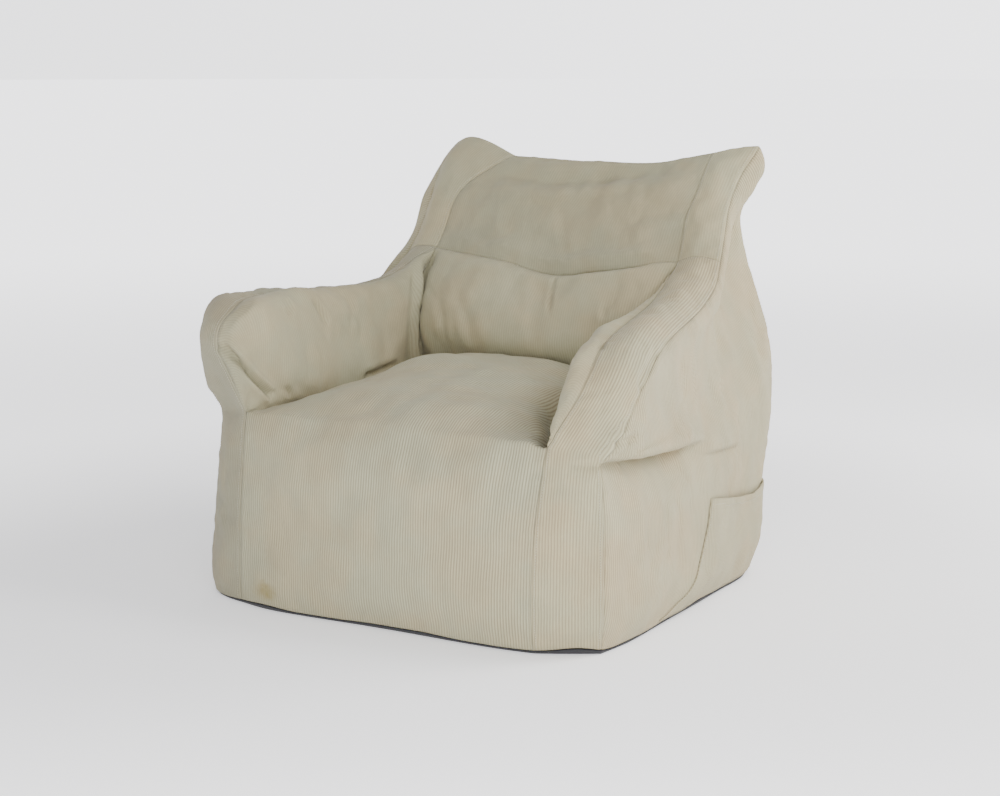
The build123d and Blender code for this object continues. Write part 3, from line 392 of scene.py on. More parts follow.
V = np.empty(len(fine.vertices) * 3, np.float32)
fine.vertices.foreach_get("co", V)
V = V.reshape(-1, 3).astype(float)
F = np.empty(len(fine.polygons) * 4, np.int32)
fine.loops.foreach_get("vertex_index", F)
F = F.reshape(-1, 4)
OWN = np.empty(len(F), np.int32)
fine.polygons.foreach_get("material_index", OWN)
CUT = np.empty(len(F) * 8, np.float32)
fine.uv_layers["cut"].data.foreach_get("uv", CUT)
CUT = CUT.reshape(-1, 4, 2)
SEAM = np.empty(len(F) * 8, np.float32)
fine.uv_layers["seam"].data.foreach_get("uv", SEAM)
SEAM = SEAM.reshape(-1, 4, 2)
bpy.data.meshes.remove(fine)
print("fine cover", len(V), "points", len(F), "faces")


def normals_of(V, F):
    n = np.cross(V[F[:, 2]] - V[F[:, 0]], V[F[:, 3]] - V[F[:, 1]])
    out = np.zeros_like(V)
    for k in range(4):
        np.add.at(out, F[:, k], n)
    return out / np.maximum(np.linalg.norm(out, axis=1, keepdims=True), 1e-12)


# what each point belongs to, and how far it is from a seam
ON = np.zeros((len(V), len(NAMES)), bool)
for k in range(4):
    ON[F[:, k], OWN] = True
DSEAM = np.full(len(V), 1.0)
for k in range(4):
    np.minimum.at(DSEAM, F[:, k], SEAM[:, k, 0])
LSEAM = np.zeros(len(V))
for k in range(4):
    LSEAM[F[:, k]] = SEAM[:, k, 1]


def within(*names):
    return ON[:, [k for k, n in enumerate(NAMES) if n.startswith(names)]].any(1)


def tree_of(V, F):
    return BVHTree.FromPolygons(V.tolist(), F.tolist())


def ray(px, py):
    d = FWD + RIGHT * (px - 500) / FOCAL - UP * (py - 398) / FOCAL
    return Vector(d / np.linalg.norm(d))


def on_cover(tree, pixels):
    """Points of the cover along a line seen in the photo."""
    out = []
    for px, py in pixels:
        hit = tree.ray_cast(Vector(EYE), ray(px, py))
        if hit[0] is not None:
            out.append(np.array(hit[0]))
    return np.array(out)


def along_line(line, V, mask, reach):
    """Nearest distance to a line, place along it from 0 to 1, and the vector from it, for the points in reach."""
    line = spline(line, max(8, int(np.linalg.norm(np.diff(line, axis=0), axis=1).sum() / 0.004))) if len(line) > 2 else \
        np.linspace(line[0], line[-1], 24)
    lo, hi = line.min(0) - reach, line.max(0) + reach
    ids = np.nonzero(mask & (V > lo).all(1) & (V < hi).all(1))[0]
    best = np.full(len(ids), 9.0)
    t = np.zeros(len(ids))
    vec = np.zeros((len(ids), 3))
    for k, q in enumerate(line):
        d = V[ids] - q
        r = np.linalg.norm(d, axis=1)
        m = r < best
        best[m], t[m], vec[m] = r[m], k / (len(line) - 1), d[m]
    keep = best < reach
    return ids[keep], best[keep], t[keep], vec[keep]


def tuck(V, tree, N, pixels, toward, names, table, ends):
    """A fold whose lip, on the side toward, hangs over a crease. The table gives distance from the crease,
    how far the cloth moves out and how far it moves across, in mm."""
    line = on_cover(tree, pixels)
    if len(line) < 2:
        print("tuck missed", pixels)
        return
    dist, out, over = np.array(table, float).T / 1000
    ids, _, t, vec = along_line(line, V, within(*names), np.abs(dist).max())
    path = spline(line, 80)
    way = np.gradient(path, axis=0)
    way = np.stack([np.interp(t, np.linspace(0, 1, 81), way[:, c]) for c in range(3)], 1)
    way /= np.linalg.norm(way, axis=1, keepdims=True)
    across = np.cross(N[ids], way)
    across *= np.sign(across @ toward)[:, None] / np.maximum(np.linalg.norm(across, axis=1, keepdims=True), 1e-9)
    off = (vec * across).sum(1)
    past = (vec * way).sum(1)
    a = smooth01(t / max(ends[0], 1e-3)) * smooth01((1 - t) / max(ends[1], 1e-3)) * np.exp(-(past / 0.02) ** 2)
    V[ids] += (N[ids] * np.interp(off, dist, out)[:, None] + across * np.interp(off, dist, over)[:, None]) * a[:, None]


def fold(V, tree, N, pixels, depth, wide, names, ridge=0.35, ends=(0.15, 0.15), up=0.0, down=0.0, points=None):
    """A crease along a line seen in the photo: pressed in by depth, with the cloth standing up a little beside it.
    up gives an extra swell on the upper side, down a hollow below."""
    line = on_cover(tree, pixels) if points is None else np.asarray(points, float)
    if len(line) < 2:
        print("fold missed", pixels)
        return
    ids, d, t, vec = along_line(line, V, within(*names), wide * (9 if down else 6))
    a = smooth01(t / max(ends[0], 1e-3)) * smooth01((1 - t) / max(ends[1], 1e-3))
    push = -depth * np.exp(-(d / wide) ** 2) + ridge * depth * np.exp(-((d - 2.3 * wide) / (1.1 * wide)) ** 2)
    if up:
        push += up * np.exp(-((d - 2.6 * wide) / (1.7 * wide)) ** 2) * (vec[:, 2] > 0)
    if down:
        push -= down * np.exp(-(d / (4.5 * wide)) ** 2) * smooth01(-vec[:, 2] / wide)
    V[ids] += N[ids] * (push * a)[:, None]


def wobble(V, scale, seed):
    """Smooth noise at each point, about -1 to 1, the same each run."""
    r = np.random.default_rng(seed)
    out = np.zeros(len(V))
    for _ in range(14):
        k = r.normal(size=3)
        k *= 2 * math.pi / scale / np.linalg.norm(k) * r.uniform(0.7, 1.4)
        out += np.sin(V @ k + r.uniform(0, 6.283))
    return out / math.sqrt(14 / 2) / 1.4


HOLLOW = {}


def hollow(V, line, mask, reach):
    """How far down the seat goes beside the right arm."""
    ids, d, t, vec = along_line(line, V, mask, reach)
    aside = vec @ RIGHT
    closed = smooth01(((vec @ FWD) + 0.012) / 0.012)
    down = 0.056 * smooth01((aside + 0.016) / 0.062) * np.exp(-(np.maximum(aside - 0.06, 0) / 0.03) ** 2) * smooth01(t / .5) * np.where(t > .97, closed, 1.0)
    return ids, d, down


def sculpt(V):
    N = normals_of(V, F)
    tree = tree_of(V, F)
    free = ~within("base_panel")
    # loose fill: the cloth is a little lumpy
    soft = smooth01(DSEAM / 0.05) * free
    V = V + N * (soft * (0.0022 * wobble(V, 0.16, 3) + 0.0009 * wobble(V, 0.06, 5)))[:, None]
    # fine wrinkles where the cloth is handled most
    slack = soft * smooth01(0.5 + 1.2 * wobble(V, 0.20, 17)) * (within("side_panel", "arm_gusset", "inner_arm", "wing_gusset", "lumbar", "headrest"))
    for size, seed, high in ((0.085, 13, 0.0030), (0.050, 15, 0.0016)):
        V = V + N * (slack * high * (np.minimum(np.abs(wobble(V * np.array([1.0, 1.0, 0.75]), size, seed)), 0.6) - 0.35))[:, None]
    # puckers along the seams
    near = np.exp(-(DSEAM / 0.020) ** 2) * (1 - np.exp(-(DSEAM / 0.005) ** 2)) * free
    V = V + N * (near * 0.0012 * wobble(V, 0.028, 7))[:, None]
    N = normals_of(V, F)
    # deep creases where the seat meets the arms and the back
    for a, b, depth, wide, lo, hi, ends in (("inner_arm_panel_right", 0, .018, .015, 0, 73, (.03, .02)), ("inner_arm_panel_right", 0, .022, .018, 4, 36, (.2, .5)),
                                            ("inner_arm_panel_left", 0, .004, .008, 0, 73, (.25, .02)), ("inner_arm_panel_left", 0, .014, .012, 36, 72, (.3, .2)),
                                            ("lumbar_panel", 0, .010, .014, 0, 69, (.06, .02))):
        line = DEFORMED[GRID[a][b]][lo:hi]
        fold(V, tree, N, None, depth, wide, ("front_seat", "inner_arm", "lumbar") if lo == 0 else ("front_seat", "lumbar"), .10, ends, points=line[::3])
    for a, depth, wide, names in (("inner_arm_panel_left", .016, .024, ("lumbar",)), ("inner_arm_panel_right", .010, .012, ("inner_arm", "lumbar", "wing"))):
        fold(V, tree, N, None, depth, wide, names, .1, (.02, .15), points=DEFORMED[GRID[a][:, -1]][::3])
    # the left arm's rear end stands out beside the lumbar cushion
    ids, d, t, _ = along_line(DEFORMED[GRID["inner_arm_panel_left"][:, -1]][::3], V, within("inner_arm_panel_left"), 0.07)
    V[ids] += N[ids] * (0.016 * np.exp(-((d - 0.013) / 0.010) ** 2) * smooth01(t / .1) * smooth01((1 - t) / .35))[:, None]
    # the seat falls away beside the right arm
    line = on_cover(tree, [(548, 388), (545.5, 400), (543, 412), (540.5, 424), (538.5, 434), (537.5, 440)])
    HOLLOW["line"] = line
    ids, _, down = hollow(V, line, within("front_seat_panel"), 0.11)
    V[ids, 2] -= down
    N = normals_of(V, F)
    # the arms' ends hang over folds
    side = ("side_panel_right",)
    lip = ((-95, 0, 0), (-65, -3, 0), (-42, -8, 0), (-22, -16, 0), (-10, -22, 1), (-4, -26, 2), (0, -28, 0), (4, -15, -3), (8, 3, -8), (14, 13, -10),
           (24, 18, -8), (40, 15, -3), (62, 7, 0), (88, 2, 0), (110, 0, 0))
    tuck(V, tree, N, [(552, 466), (566, 465), (584, 464), (604, 463), (620, 461), (638, 458), (658, 453), (678, 448.5), (696, 445), (712, 442.5)], UP,
         ("side_panel_right", "arm_gusset_right"), tuple((a, 1.25 * b, 1.3 * c) for a, b, c in lip), (.44, .40))
    small = tuple((.7 * a, .30 * b, .4 * c) for a, b, c in lip)
    tuck(V, tree, N, [(696, 456), (712, 453), (728, 449), (744, 445)], UP, side, small, (.4, .4))
    arm = ("arm_gusset_left", "inner_arm_panel_left", "side_panel_left")
    N = normals_of(V, F)
    tree = tree_of(V, F)
    # creases seen in the photo
    fold(V, tree, N, [(612, 444), (624, 441), (638, 436)], .006, .005, ("side_panel_right", "arm_gusset_right"), .5)
    fold(V, tree, N, [(640, 396), (641, 380), (649, 366), (658, 348)], .0045, .006, ("side_panel_right", "arm_gusset_right"), .5)
    fold(V, tree, N, [(600, 350), (603, 343)], .004, .005, ("arm_gusset_right", "inner_arm_panel_right"), .5)
    fold(V, tree, N, [(700, 300), (716, 330), (722, 360)], .003, .014, side)
    fold(V, tree, N, [(548, 438), (552, 441), (554, 447)], .0035, .005, ("arm_gusset_right", "inner_arm_panel_right", "front_seat"), .5)
    fold(V, tree, N, [(284, 299), (289, 305), (288, 314)], .005, .006, arm, .5)
    fold(V, tree, N, [(313, 300), (320, 311), (328, 325)], .005, .006, arm, .5)
    fold(V, tree, N, [(348, 296), (352, 310), (350, 325)], .002, .008, arm, .5)
    fold(V, tree, N, [(220, 342), (230, 352.5), (240, 363), (250, 373.5), (260, 384), (273, 397)], .017, .0055, arm, .30, (.08, .08))
    fold(V, tree, N, [(284, 386), (288, 390.5), (291, 396)], .005, .0045, arm, .3, (.5, .05))
    fold(V, tree, N, [(223, 336.5), (226, 327), (241, 311.5), (252.7, 302)], .003, .005, arm, .4)
    line = on_cover(tree, [(363, 375), (372, 371.5), (381, 367.5), (391, 363.5), (402, 360)]) - np.array([0.0, 0.0, 0.009])
    fold(V, tree, N, None, .022, .008, ("inner_arm_panel_left",), .1, (.15, .35), points=line)
    fold(V, tree, N, [(402, 272), (413, 287), (424, 303)], .004, .008, ("arm_gusset_left", "inner_arm_panel_left", "wing_gusset_left"))
    lum = ("lumbar_panel",)
    fold(V, tree, N, [(556, 279), (552, 290), (550, 302), (549, 318)], .0055, .0042, lum, .22, (.05, .4))
    fold(V, tree, N, [(608, 294), (604, 309), (601, 330)], .0045, .005, lum, .5)
    fold(V, tree, N, [(456, 290), (463, 310), (469, 332), (470, 347)], .0022, .009, lum, .5)
    fold(V, tree, N, [(438, 300), (442, 320), (444, 342)], .0030, .008, lum, .5)
    fold(V, tree, N, [(480, 300), (488, 322), (489, 344)], .0014, .010, lum, .5)
    fold(V, tree, N, [(520, 290), (516, 315), (512, 340)], .0014, .010, lum, .5)
    fold(V, tree, N, [(640, 280), (632, 296), (622, 312)], .002, .009, lum, .5)
    fold(V, tree, N, None, .0045, .012, ("headrest_panel", "lumbar_panel"), .6, (.12, .12), points=DEFORMED[GRID["lumbar_panel"][-1]][::3])
    head = ("headrest_panel", "wing_gusset")
    fold(V, tree, N, [(478, 172), (510, 176), (560, 181), (600, 178), (640, 174), (680, 168)], .0075, .013, head, .85, (.25, .25))
    fold(V, tree, N, [(640, 196), (664, 206), (686, 205)], .003, .014, head, .4)
    fold(V, tree, N, [(628, 222), (650, 214), (676, 210)], .004, .016, head, .4)
    fold(V, tree, N, [(560, 206), (563, 230), (566, 262)], .0014, .008, head, .5)
    fold(V, tree, N, [(470, 200), (478, 225), (490, 247)], .0018, .012, head, .4)
    fold(V, tree, N, [(520, 262), (560, 271), (610, 267), (660, 261)], .004, .010, ("headrest_panel", "lumbar_panel"), .8, (.2, .2))
    return V


V = sculpt(V)
NORM = normals_of(V, F)
# seams drawn in by the thread, and the second row of stitching beside them
free = ~within("base_panel")
hem = within("base_panel")
rear_zip = (np.abs(V[:, 0] + 0.003) < 0.26) & (V[:, 1] > 0.3) & (np.abs(V[:, 2] - 0.105) < 0.03)
V = V - NORM * ((0.0003 * np.exp(-(DSEAM / 0.0040) ** 2) - 0.0006 * np.exp(-((DSEAM - 0.007) / 0.005) ** 2)) * (free & ~hem & ~rear_zip))[:, None]
NORM = normals_of(V, F)
TREE = tree_of(V, F)

# ----------------------------------------------------------------------------
# Materials
# ----------------------------------------------------------------------------
class Nodes:
    """Short way to write a node tree."""

    def __init__(self, name, fake=False):
        self.mat = bpy.data.materials.new(name)
        self.mat.use_nodes = True
        self.t = self.mat.node_tree
        self.t.nodes.clear()
        self.out = self.t.nodes.new("ShaderNodeOutputMaterial")
        self.bsdf = self.t.nodes.new("ShaderNodeBsdfPrincipled")
        self.t.links.new(self.bsdf.outputs[0], self.out.inputs[0])

    def put(self, socket, v):
        if isinstance(v, bpy.types.NodeSocket):
            self.t.links.new(v, socket)
        elif isinstance(v, (tuple, list)) and socket.type == "RGBA" and len(v) == 3:
            socket.default_value = (*v, 1)
        else:
            socket.default_value = v

    def math(self, op, a, b=0.0, c=0.0):
        n = self.t.nodes.new("ShaderNodeMath")
        n.operation = op
        for k, v in enumerate((a, b, c)):
            self.put(n.inputs[k], v)
        return n.outputs[0]

    def uv(self, name):
        n = self.t.nodes.new("ShaderNodeUVMap")
        n.uv_map = name
        s = self.t.nodes.new("ShaderNodeSeparateXYZ")
        self.t.links.new(n.outputs[0], s.inputs[0])
        return s.outputs[0], s.outputs[1], n.outputs[0]

    def place(self):
        n = self.t.nodes.new("ShaderNodeTexCoord")
        return n.outputs["Object"]

    def noise(self, vec, scale, detail=3.0, rough=0.5, dim="3D"):
        n = self.t.nodes.new("ShaderNodeTexNoise")
        n.noise_dimensions = dim
        self.put(n.inputs["Vector"], vec)
        self.put(n.inputs["Scale"], scale)
        self.put(n.inputs["Detail"], detail)
        self.put(n.inputs["Roughness"], rough)
        return n.outputs[0]

    def vec(self, x, y, z=0.0):
        n = self.t.nodes.new("ShaderNodeCombineXYZ")
        for k, v in enumerate((x, y, z)):
            self.put(n.inputs[k], v)
        return n.outputs[0]

    def ramp(self, fac, stops):
        n = self.t.nodes.new("ShaderNodeValToRGB")
        e = n.color_ramp.elements
        while len(e) < len(stops):
            e.new(0.5)
        for el, (pos, col) in zip(e, stops):
            el.position, el.color = pos, (*col, 1)
        self.put(n.inputs[0], fac)
        return n.outputs[0]

    def mix(self, fac, a, b, mode="MIX"):
        n = self.t.nodes.new("ShaderNodeMix")
        n.data_type, n.blend_type = "RGBA", mode
        self.put(n.inputs["Factor"], fac)
        self.put(n.inputs[6], a)
        self.put(n.inputs[7], b)
        return n.outputs[2]

    def span(self, v, a, b, c, d):
        n = self.t.nodes.new("ShaderNodeMapRange")
        n.interpolation_type = "SMOOTHSTEP"
        for k, x in enumerate((v, a, b, c, d)):
            self.put(n.inputs[k], x)
        return n.outputs[0]

    def bump(self, height, distance, strength=1.0, normal=None):
        n = self.t.nodes.new("ShaderNodeBump")
        n.inputs["Strength"].default_value = strength
        n.inputs["Distance"].default_value = distance
        self.t.links.new(height, n.inputs["Height"])
        if normal is not None:
            self.t.links.new(normal, n.inputs["Normal"])
        return n.outputs[0]

    def set(self, **kw):
        for k, v in kw.items():
            self.put(self.bsdf.inputs[k.replace("_", " ")], v)
        return self.mat


# the valleys between the ribs are darker: partly the cloth's own colour, partly painted shade in the hollows
RIDGE, VALLEY_SHADED = (0.396, 0.363, 0.239), (0.232, 0.206, 0.128)


def corduroy(name, tint=(1.0, 1.0, 1.0), ribbed=1.0, stain=None):
    m = Nodes(name)
    w, l, flat = m.uv("cut")
    d, a, _ = m.uv("seam")
    here = m.place()
    # ribs, a little wavy and uneven in width
    drift = m.math("MULTIPLY_ADD", m.noise(m.vec(m.math("MULTIPLY", w, 9.0), m.math("MULTIPLY", l, 14.0)), 1.0, 2.0), 0.0016, -0.0008)
    s = m.math("DIVIDE", m.math("ADD", w, drift), WALE)
    rib = m.math("MULTIPLY_ADD", m.math("COSINE", m.math("MULTIPLY", s, 2 * math.pi)), 0.5, 0.5)
    rib = m.math("POWER", rib, 0.62)
    # pile: short fibres, streaked along the rib
    pile = m.noise(m.vec(m.math("MULTIPLY", w, 2600.0), m.math("MULTIPLY", l, 700.0)), 1.0, 2.0, 0.6)
    clump = m.noise(m.vec(m.math("MULTIPLY", w, 420.0), m.math("MULTIPLY", l, 110.0)), 1.0, 3.0, 0.6)
    broad = m.noise(here, 7.0, 3.0, 0.55)
    patch = m.noise(here, 15.0, 3.0, 0.5)
    brushed = m.noise(m.vec(m.math("MULTIPLY", w, 26.0), m.math("MULTIPLY", l, 8.0)), 1.0, 3.0, 0.6)
    # the nap hides part of the ribbing where it is rubbed
    # the colour runs from the valley's, with its painted shade, to the ridge's
    base = m.mix(m.math("MULTIPLY_ADD", rib, ribbed, 0.62 * (1 - ribbed)), VALLEY_SHADED, RIDGE)
    shade = m.math("MULTIPLY_ADD", broad, 0.22, 0.89)
    shade = m.math("MULTIPLY", shade, m.math("MULTIPLY_ADD", patch, 0.18, 0.91))
    shade = m.math("MULTIPLY", shade, m.math("MULTIPLY_ADD", brushed, 0.20, 0.90))
    shade = m.math("MULTIPLY", shade, m.math("MULTIPLY_ADD", clump, 0.20, 0.90))
    shade = m.math("MULTIPLY", shade, m.math("MULTIPLY_ADD", pile, 0.16, 0.92))
    # the seam line, the stitched line beside it
    line = m.span(d, 0.0002, 0.0016, 1.0, 1.0)
    stitch = m.math("ABSOLUTE", m.math("SUBTRACT", d, 0.0068))
    stitch = m.span(stitch, 0.0002, 0.0014, 0.96, 1.0)
    shade = m.math("MULTIPLY", shade, m.math("MULTIPLY", line, stitch))
    # painted light and shade: the tint scales the colour of the whole panel
    col = m.mix(1.0, base, m.vec(m.math("MULTIPLY", shade, tint[0]), m.math("MULTIPLY", shade, tint[1]), m.math("MULTIPLY", shade, tint[2])), "MULTIPLY")
    # the dye leans to rose in some places and to green in others
    lean = m.span(m.noise(here, 8.0, 3.0, 0.6), 0.36, 0.64, 0.0, 1.0)
    col = m.mix(1.0, col, m.mix(lean, (1.035, 0.990, 0.955), (0.968, 1.004, 1.020)), "MULTIPLY")
    # darker and browner in patches towards the bottom
    z = m.t.nodes.new("ShaderNodeSeparateXYZ")
    m.t.links.new(here, z.inputs[0])
    low = m.math("MULTIPLY", m.span(z.outputs[2], 0.0, 0.07, 0.5, 0.0), m.noise(here, 16.0, 4.0, 0.6))
    col = m.mix(low, col, (0.27, 0.235, 0.150))
    if stain is not None:
        flatter = m.t.nodes.new("ShaderNodeVectorMath")
        flatter.operation = "MULTIPLY"
        m.t.links.new(here, flatter.inputs[0])
        flatter.inputs[1].default_value = (1.0, 1.0, 1.5)
        v = m.t.nodes.new("ShaderNodeVectorMath")
        v.operation = "DISTANCE"
        m.t.links.new(flatter.outputs[0], v.inputs[0])
        v.inputs[1].default_value = (stain[0], stain[1], stain[2] * 1.5)
        r = m.math("ADD", v.outputs["Value"], m.math("MULTIPLY_ADD", m.noise(here, 60.0, 4.0, 0.6), 0.040, -0.020))
        spot = m.math("MULTIPLY", m.span(r, 0.006, 0.036, 0.90, 0.0), m.math("MULTIPLY_ADD", m.noise(here, 130.0, 3.0), 0.9, 0.35))
        col = m.mix(spot, col, (0.235, 0.190, 0.070))
    h = m.math("ADD", m.math("MULTIPLY", rib, ribbed), m.math("MULTIPLY", m.math("ADD", clump, pile), 0.22))
    nrm = m.bump(h, 0.0008, 0.75)
    dip = m.math("ADD", m.span(d, 0.0, 0.0025, 0.0, 1.0), m.math("MULTIPLY", stitch, 0.8))
    nrm = m.bump(dip, 0.0003, 0.5, nrm)
    m.bsdf.inputs["Sheen Tint"].default_value = (0.95, 0.91, 0.83, 1)
    return m.set(Base_Color=col, Roughness=0.95, Sheen_Weight=0.14, Sheen_Roughness=0.5, Specular_IOR_Level=0.15, Normal=nrm)


def weave(name, dark, light, pitch, rough=0.85, sheen=0.1, coords="cut"):
    """Plain woven cloth."""
    m = Nodes(name)
    here = m.place()
    if coords == "cut":
        w, l, _ = m.uv("cut")
    else:
        s = m.t.nodes.new("ShaderNodeSeparateXYZ")
        m.t.links.new(here, s.inputs[0])
        w, l = m.math("ADD", s.outputs[0], s.outputs[1]), m.math("ADD", s.outputs[2], m.math("MULTIPLY", s.outputs[1], 0.5))
    a = m.math("SINE", m.math("MULTIPLY", w, 2 * math.pi / pitch))
    b = m.math("SINE", m.math("MULTIPLY", l, 2 * math.pi / pitch))
    g = m.math("MULTIPLY_ADD", m.math("MULTIPLY", a, b), 0.5, 0.5)
    n = m.noise(here, 22.0, 4.0, 0.6)
    f = m.math("MULTIPLY", g, m.math("MULTIPLY_ADD", n, 0.6, 0.6))
    col = m.mix(f, dark, light)
    return m.set(Base_Color=col, Roughness=rough, Sheen_Weight=sheen, Specular_IOR_Level=0.2,
                 Normal=m.bump(g, pitch * 0.3, 0.7))


def beads(name):
    m = Nodes(name)
    here = m.place()
    v = m.t.nodes.new("ShaderNodeTexVoronoi")
    v.inputs["Scale"].default_value = 260
    m.t.links.new(here, v.inputs["Vector"])
    g = m.span(v.outputs["Distance"], 0.0, 0.75, 1.0, 0.0)
    col = m.ramp(g, [(0.0, (0.45, 0.45, 0.44)), (0.45, (0.80, 0.80, 0.79)), (1.0, (0.90, 0.90, 0.89))])
    return m.set(Base_Color=col, Roughness=0.55, Specular_IOR_Level=0.3, Normal=m.bump(g, 0.0016, 0.9))


def painted(name, color, rough=0.42):
    """Painted die-cast metal, rubbed at random."""
    m = Nodes(name)
    here = m.place()
    n = m.noise(here, 420.0, 5.0, 0.6)
    wear = m.span(m.noise(here, 160.0, 4.0, 0.65), 0.58, 0.72, 0.0, 1.0)
    col = m.mix(wear, m.mix(n, tuple(c * 0.86 for c in color), tuple(min(1, c * 1.12) for c in color)), (0.52, 0.50, 0.46))
    r = m.math("MULTIPLY_ADD", n, 0.2, rough - 0.1)
    return m.set(Base_Color=col, Roughness=r, Metallic=0.35, Normal=m.bump(n, 0.0002, 0.3))


def nylon(name, color):
    m = Nodes(name)
    n = m.noise(m.place(), 700.0, 3.0, 0.6)
    return m.set(Base_Color=m.mix(n, tuple(c * 0.85 for c in color), tuple(min(1, c * 1.1) for c in color)),
                 Roughness=m.math("MULTIPLY_ADD", n, 0.15, 0.38), Normal=m.bump(n, 0.0001, 0.3))


def thread(name, color):
    m = Nodes(name)
    n = m.noise(m.place(), 900.0, 3.0, 0.6)
    return m.set(Base_Color=m.mix(n, tuple(c * 0.75 for c in color), tuple(min(1, c * 1.1) for c in color)),
                 Roughness=0.7, Sheen_Weight=0.1, Normal=m.bump(n, 0.0002, 0.6))


def paper(name, color):
    m = Nodes(name)
    n = m.noise(m.place(), 3.0, 3.0, 0.5)
    # painted light: the floor glows by its emission, less near the middle and more further out
    v = m.t.nodes.new("ShaderNodeVectorMath")
    v.operation = "LENGTH"
    m.t.links.new(m.place(), v.inputs[0])
    glow = m.math("ADD", m.span(v.outputs["Value"], 0.8, 1.9, 0.48, 1.12), m.span(v.outputs["Value"], 1.8, 6.5, 0.0, 0.98))
    m.bsdf.inputs["Emission Color"].default_value = (1.0, 1.0, 1.02, 1)
    return m.set(Base_Color=m.mix(n, tuple(c * 0.985 for c in color), color), Roughness=0.9, Specular_IOR_Level=0.1, Emission_Strength=glow)

# ----------------------------------------------------------------------------
# Pieces
# ----------------------------------------------------------------------------
def piece(name, verts, faces, mat, uvs=None):
    mesh = bpy.data.meshes.new(name)
    mesh.from_pydata(np.asarray(verts, float).tolist(), [], [list(map(int, f)) for f in faces])
    for layer, data in (uvs or {}).items():
        mesh.uv_layers.new(name=layer).data.foreach_set("uv", np.asarray(data, np.float32).reshape(-1))
    mesh.polygons.foreach_set("use_smooth", np.ones(len(mesh.polygons), bool))
    mesh.materials.append(mat)
    ob = bpy.data.objects.new(name, mesh)
    bpy.context.scene.collection.objects.link(ob)
    return ob


def shell(name, verts, faces, normals, thick, mat, cut, seam, tuck=0.00012):
    """A closed sheet: the outer face, an inner face a cloth's thickness behind it, and its cut edge."""
    used, idx = np.unique(faces, return_inverse=True)
    f = idx.reshape(faces.shape)
    v, n = verts[used].copy(), normals[used]
    t = np.broadcast_to(np.asarray(thick, float), (len(verts),))[used]
    ends = {}
    for k in range(f.shape[0]):
        for c in range(4):
            ends[(f[k, c], f[k, (c + 1) % 4])] = (k, c)
    rim = [(e, kc) for e, kc in ends.items() if (e[1], e[0]) not in ends]
    if tuck:
        mid = v[f].mean(1)
        acc, cnt = np.zeros_like(v), np.zeros(len(v))
        for c in range(4):
            np.add.at(acc, f[:, c], mid)
            np.add.at(cnt, f[:, c], 1)
        edge = np.unique([e[0] for e, _ in rim])
        d = acc[edge] / cnt[edge][:, None] - v[edge]
        v[edge] += d * (tuck / np.maximum(np.linalg.norm(d, axis=1, keepdims=True), 1e-6))
    m = len(v)
    inner = v - n * t[:, None]
    out_f = [*f.tolist(), *(f[:, ::-1] + m).tolist(), *[(e[1], e[0], e[0] + m, e[1] + m) for e, _ in rim]]

    def loops(x):
        edge = np.array([[x[k, (c + 1) % 4], x[k, c], x[k, c], x[k, (c + 1) % 4]] for _, (k, c) in rim])
        return np.concatenate([x, x[:, ::-1], edge])

    return piece(name, np.vstack([v, inner]), out_f, mat, {"cut": loops(cut), "seam": loops(seam)})


def chair(ob, slot, *nodes):
    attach(ob, "chair")
    if nodes:
        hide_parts(*nodes)
    return ob


def floor_point(px, py, z=0.01):
    d = np.array(ray(px, py))
    return EYE + d * ((z - EYE[2]) / d[2])


CLOTH = 0.0022
stain_at = tuple(on_cover(TREE, [(265, 591)])[0])
print("stain at", np.round(stain_at, 3))

# the hem rides up a little at the two front corners, and waves slightly all round
lift = np.full(len(V), -0.0045)
for px, py, r, h in ((262, 607, 0.05, 0.0040), (578, 651, 0.045, 0.0062), (700, 600, 0.10, 0.002), (400, 628, 0.12, 0.002)):
    q = floor_point(px, py)
    lift += h * np.exp(-(((V[:, 0] - q[0]) ** 2 + (V[:, 1] - q[1]) ** 2) / r**2))
lift += 0.0008 * wobble(V * np.array([1, 1, 0]), 0.11, 11)
V[:, 2] += lift * np.exp(-np.maximum(V[:, 2] - 0.009, 0) / 0.03)
NORM = normals_of(V, F)
TREE = tree_of(V, F)

# the zip's opening along the rear seam
ZX, ZY, ZZ, ZHALF, ZSLOT = -0.003, 0.378, 0.105, 0.240, 0.0046


def open_slot(verts, sign):
    win = smooth01((ZHALF + 0.006 - np.abs(verts[:, 0] - ZX)) / 0.012) * (verts[:, 1] > 0.3)
    out = verts.copy()
    gap = np.abs(verts[:, 2] - ZZ)
    out[:, 2] += sign * ZSLOT * win * np.exp(-gap / 0.014)
    return out


# painted light and shade: each cut's colour is scaled lighter or darker, and a little warmer or cooler, to stand in for
# the light it gets; the second number is how plainly its ribs show
PANEL_SHADE_AND_RIBS = {
    "front_seat_panel": ((1.01, 1.03, 1.05), 1.00),
    "arm_gusset_left": ((0.80, 0.81, 0.85), 0.60),
    "arm_gusset_right": ((1.05, 1.03, 1.01), 0.80),
    "wing_gusset_left": ((0.97, 0.97, 0.97), 0.32),
    "wing_gusset_right": ((1.05, 1.05, 1.04), 0.32),
    "inner_arm_panel_left": ((0.92, 0.93, 0.94), 0.36),
    "inner_arm_panel_right": ((1.00, 1.00, 1.00), 0.36),
    "side_panel_left": ((1.00, 1.00, 1.00), 0.80),
    "side_panel_right": ((1.07, 1.03, 1.01), 0.80),
    "lumbar_panel": ((1.03, 1.03, 1.03), 0.36),
    "headrest_panel": ((0.86, 0.87, 0.88), 0.30),
    "rear_lower_panel": ((1.00, 1.00, 1.00), 0.90),
    "rear_upper_panel": ((1.00, 1.00, 1.00), 0.90),
    "side_pocket": ((1.05, 1.01, 0.99), 0.80),
}
CORD = {name: corduroy("corduroy_" + name.replace("_panel", ""), tint, ribbed, stain_at if name == "front_seat_panel" else None)
        for name, (tint, ribbed) in PANEL_SHADE_AND_RIBS.items()}
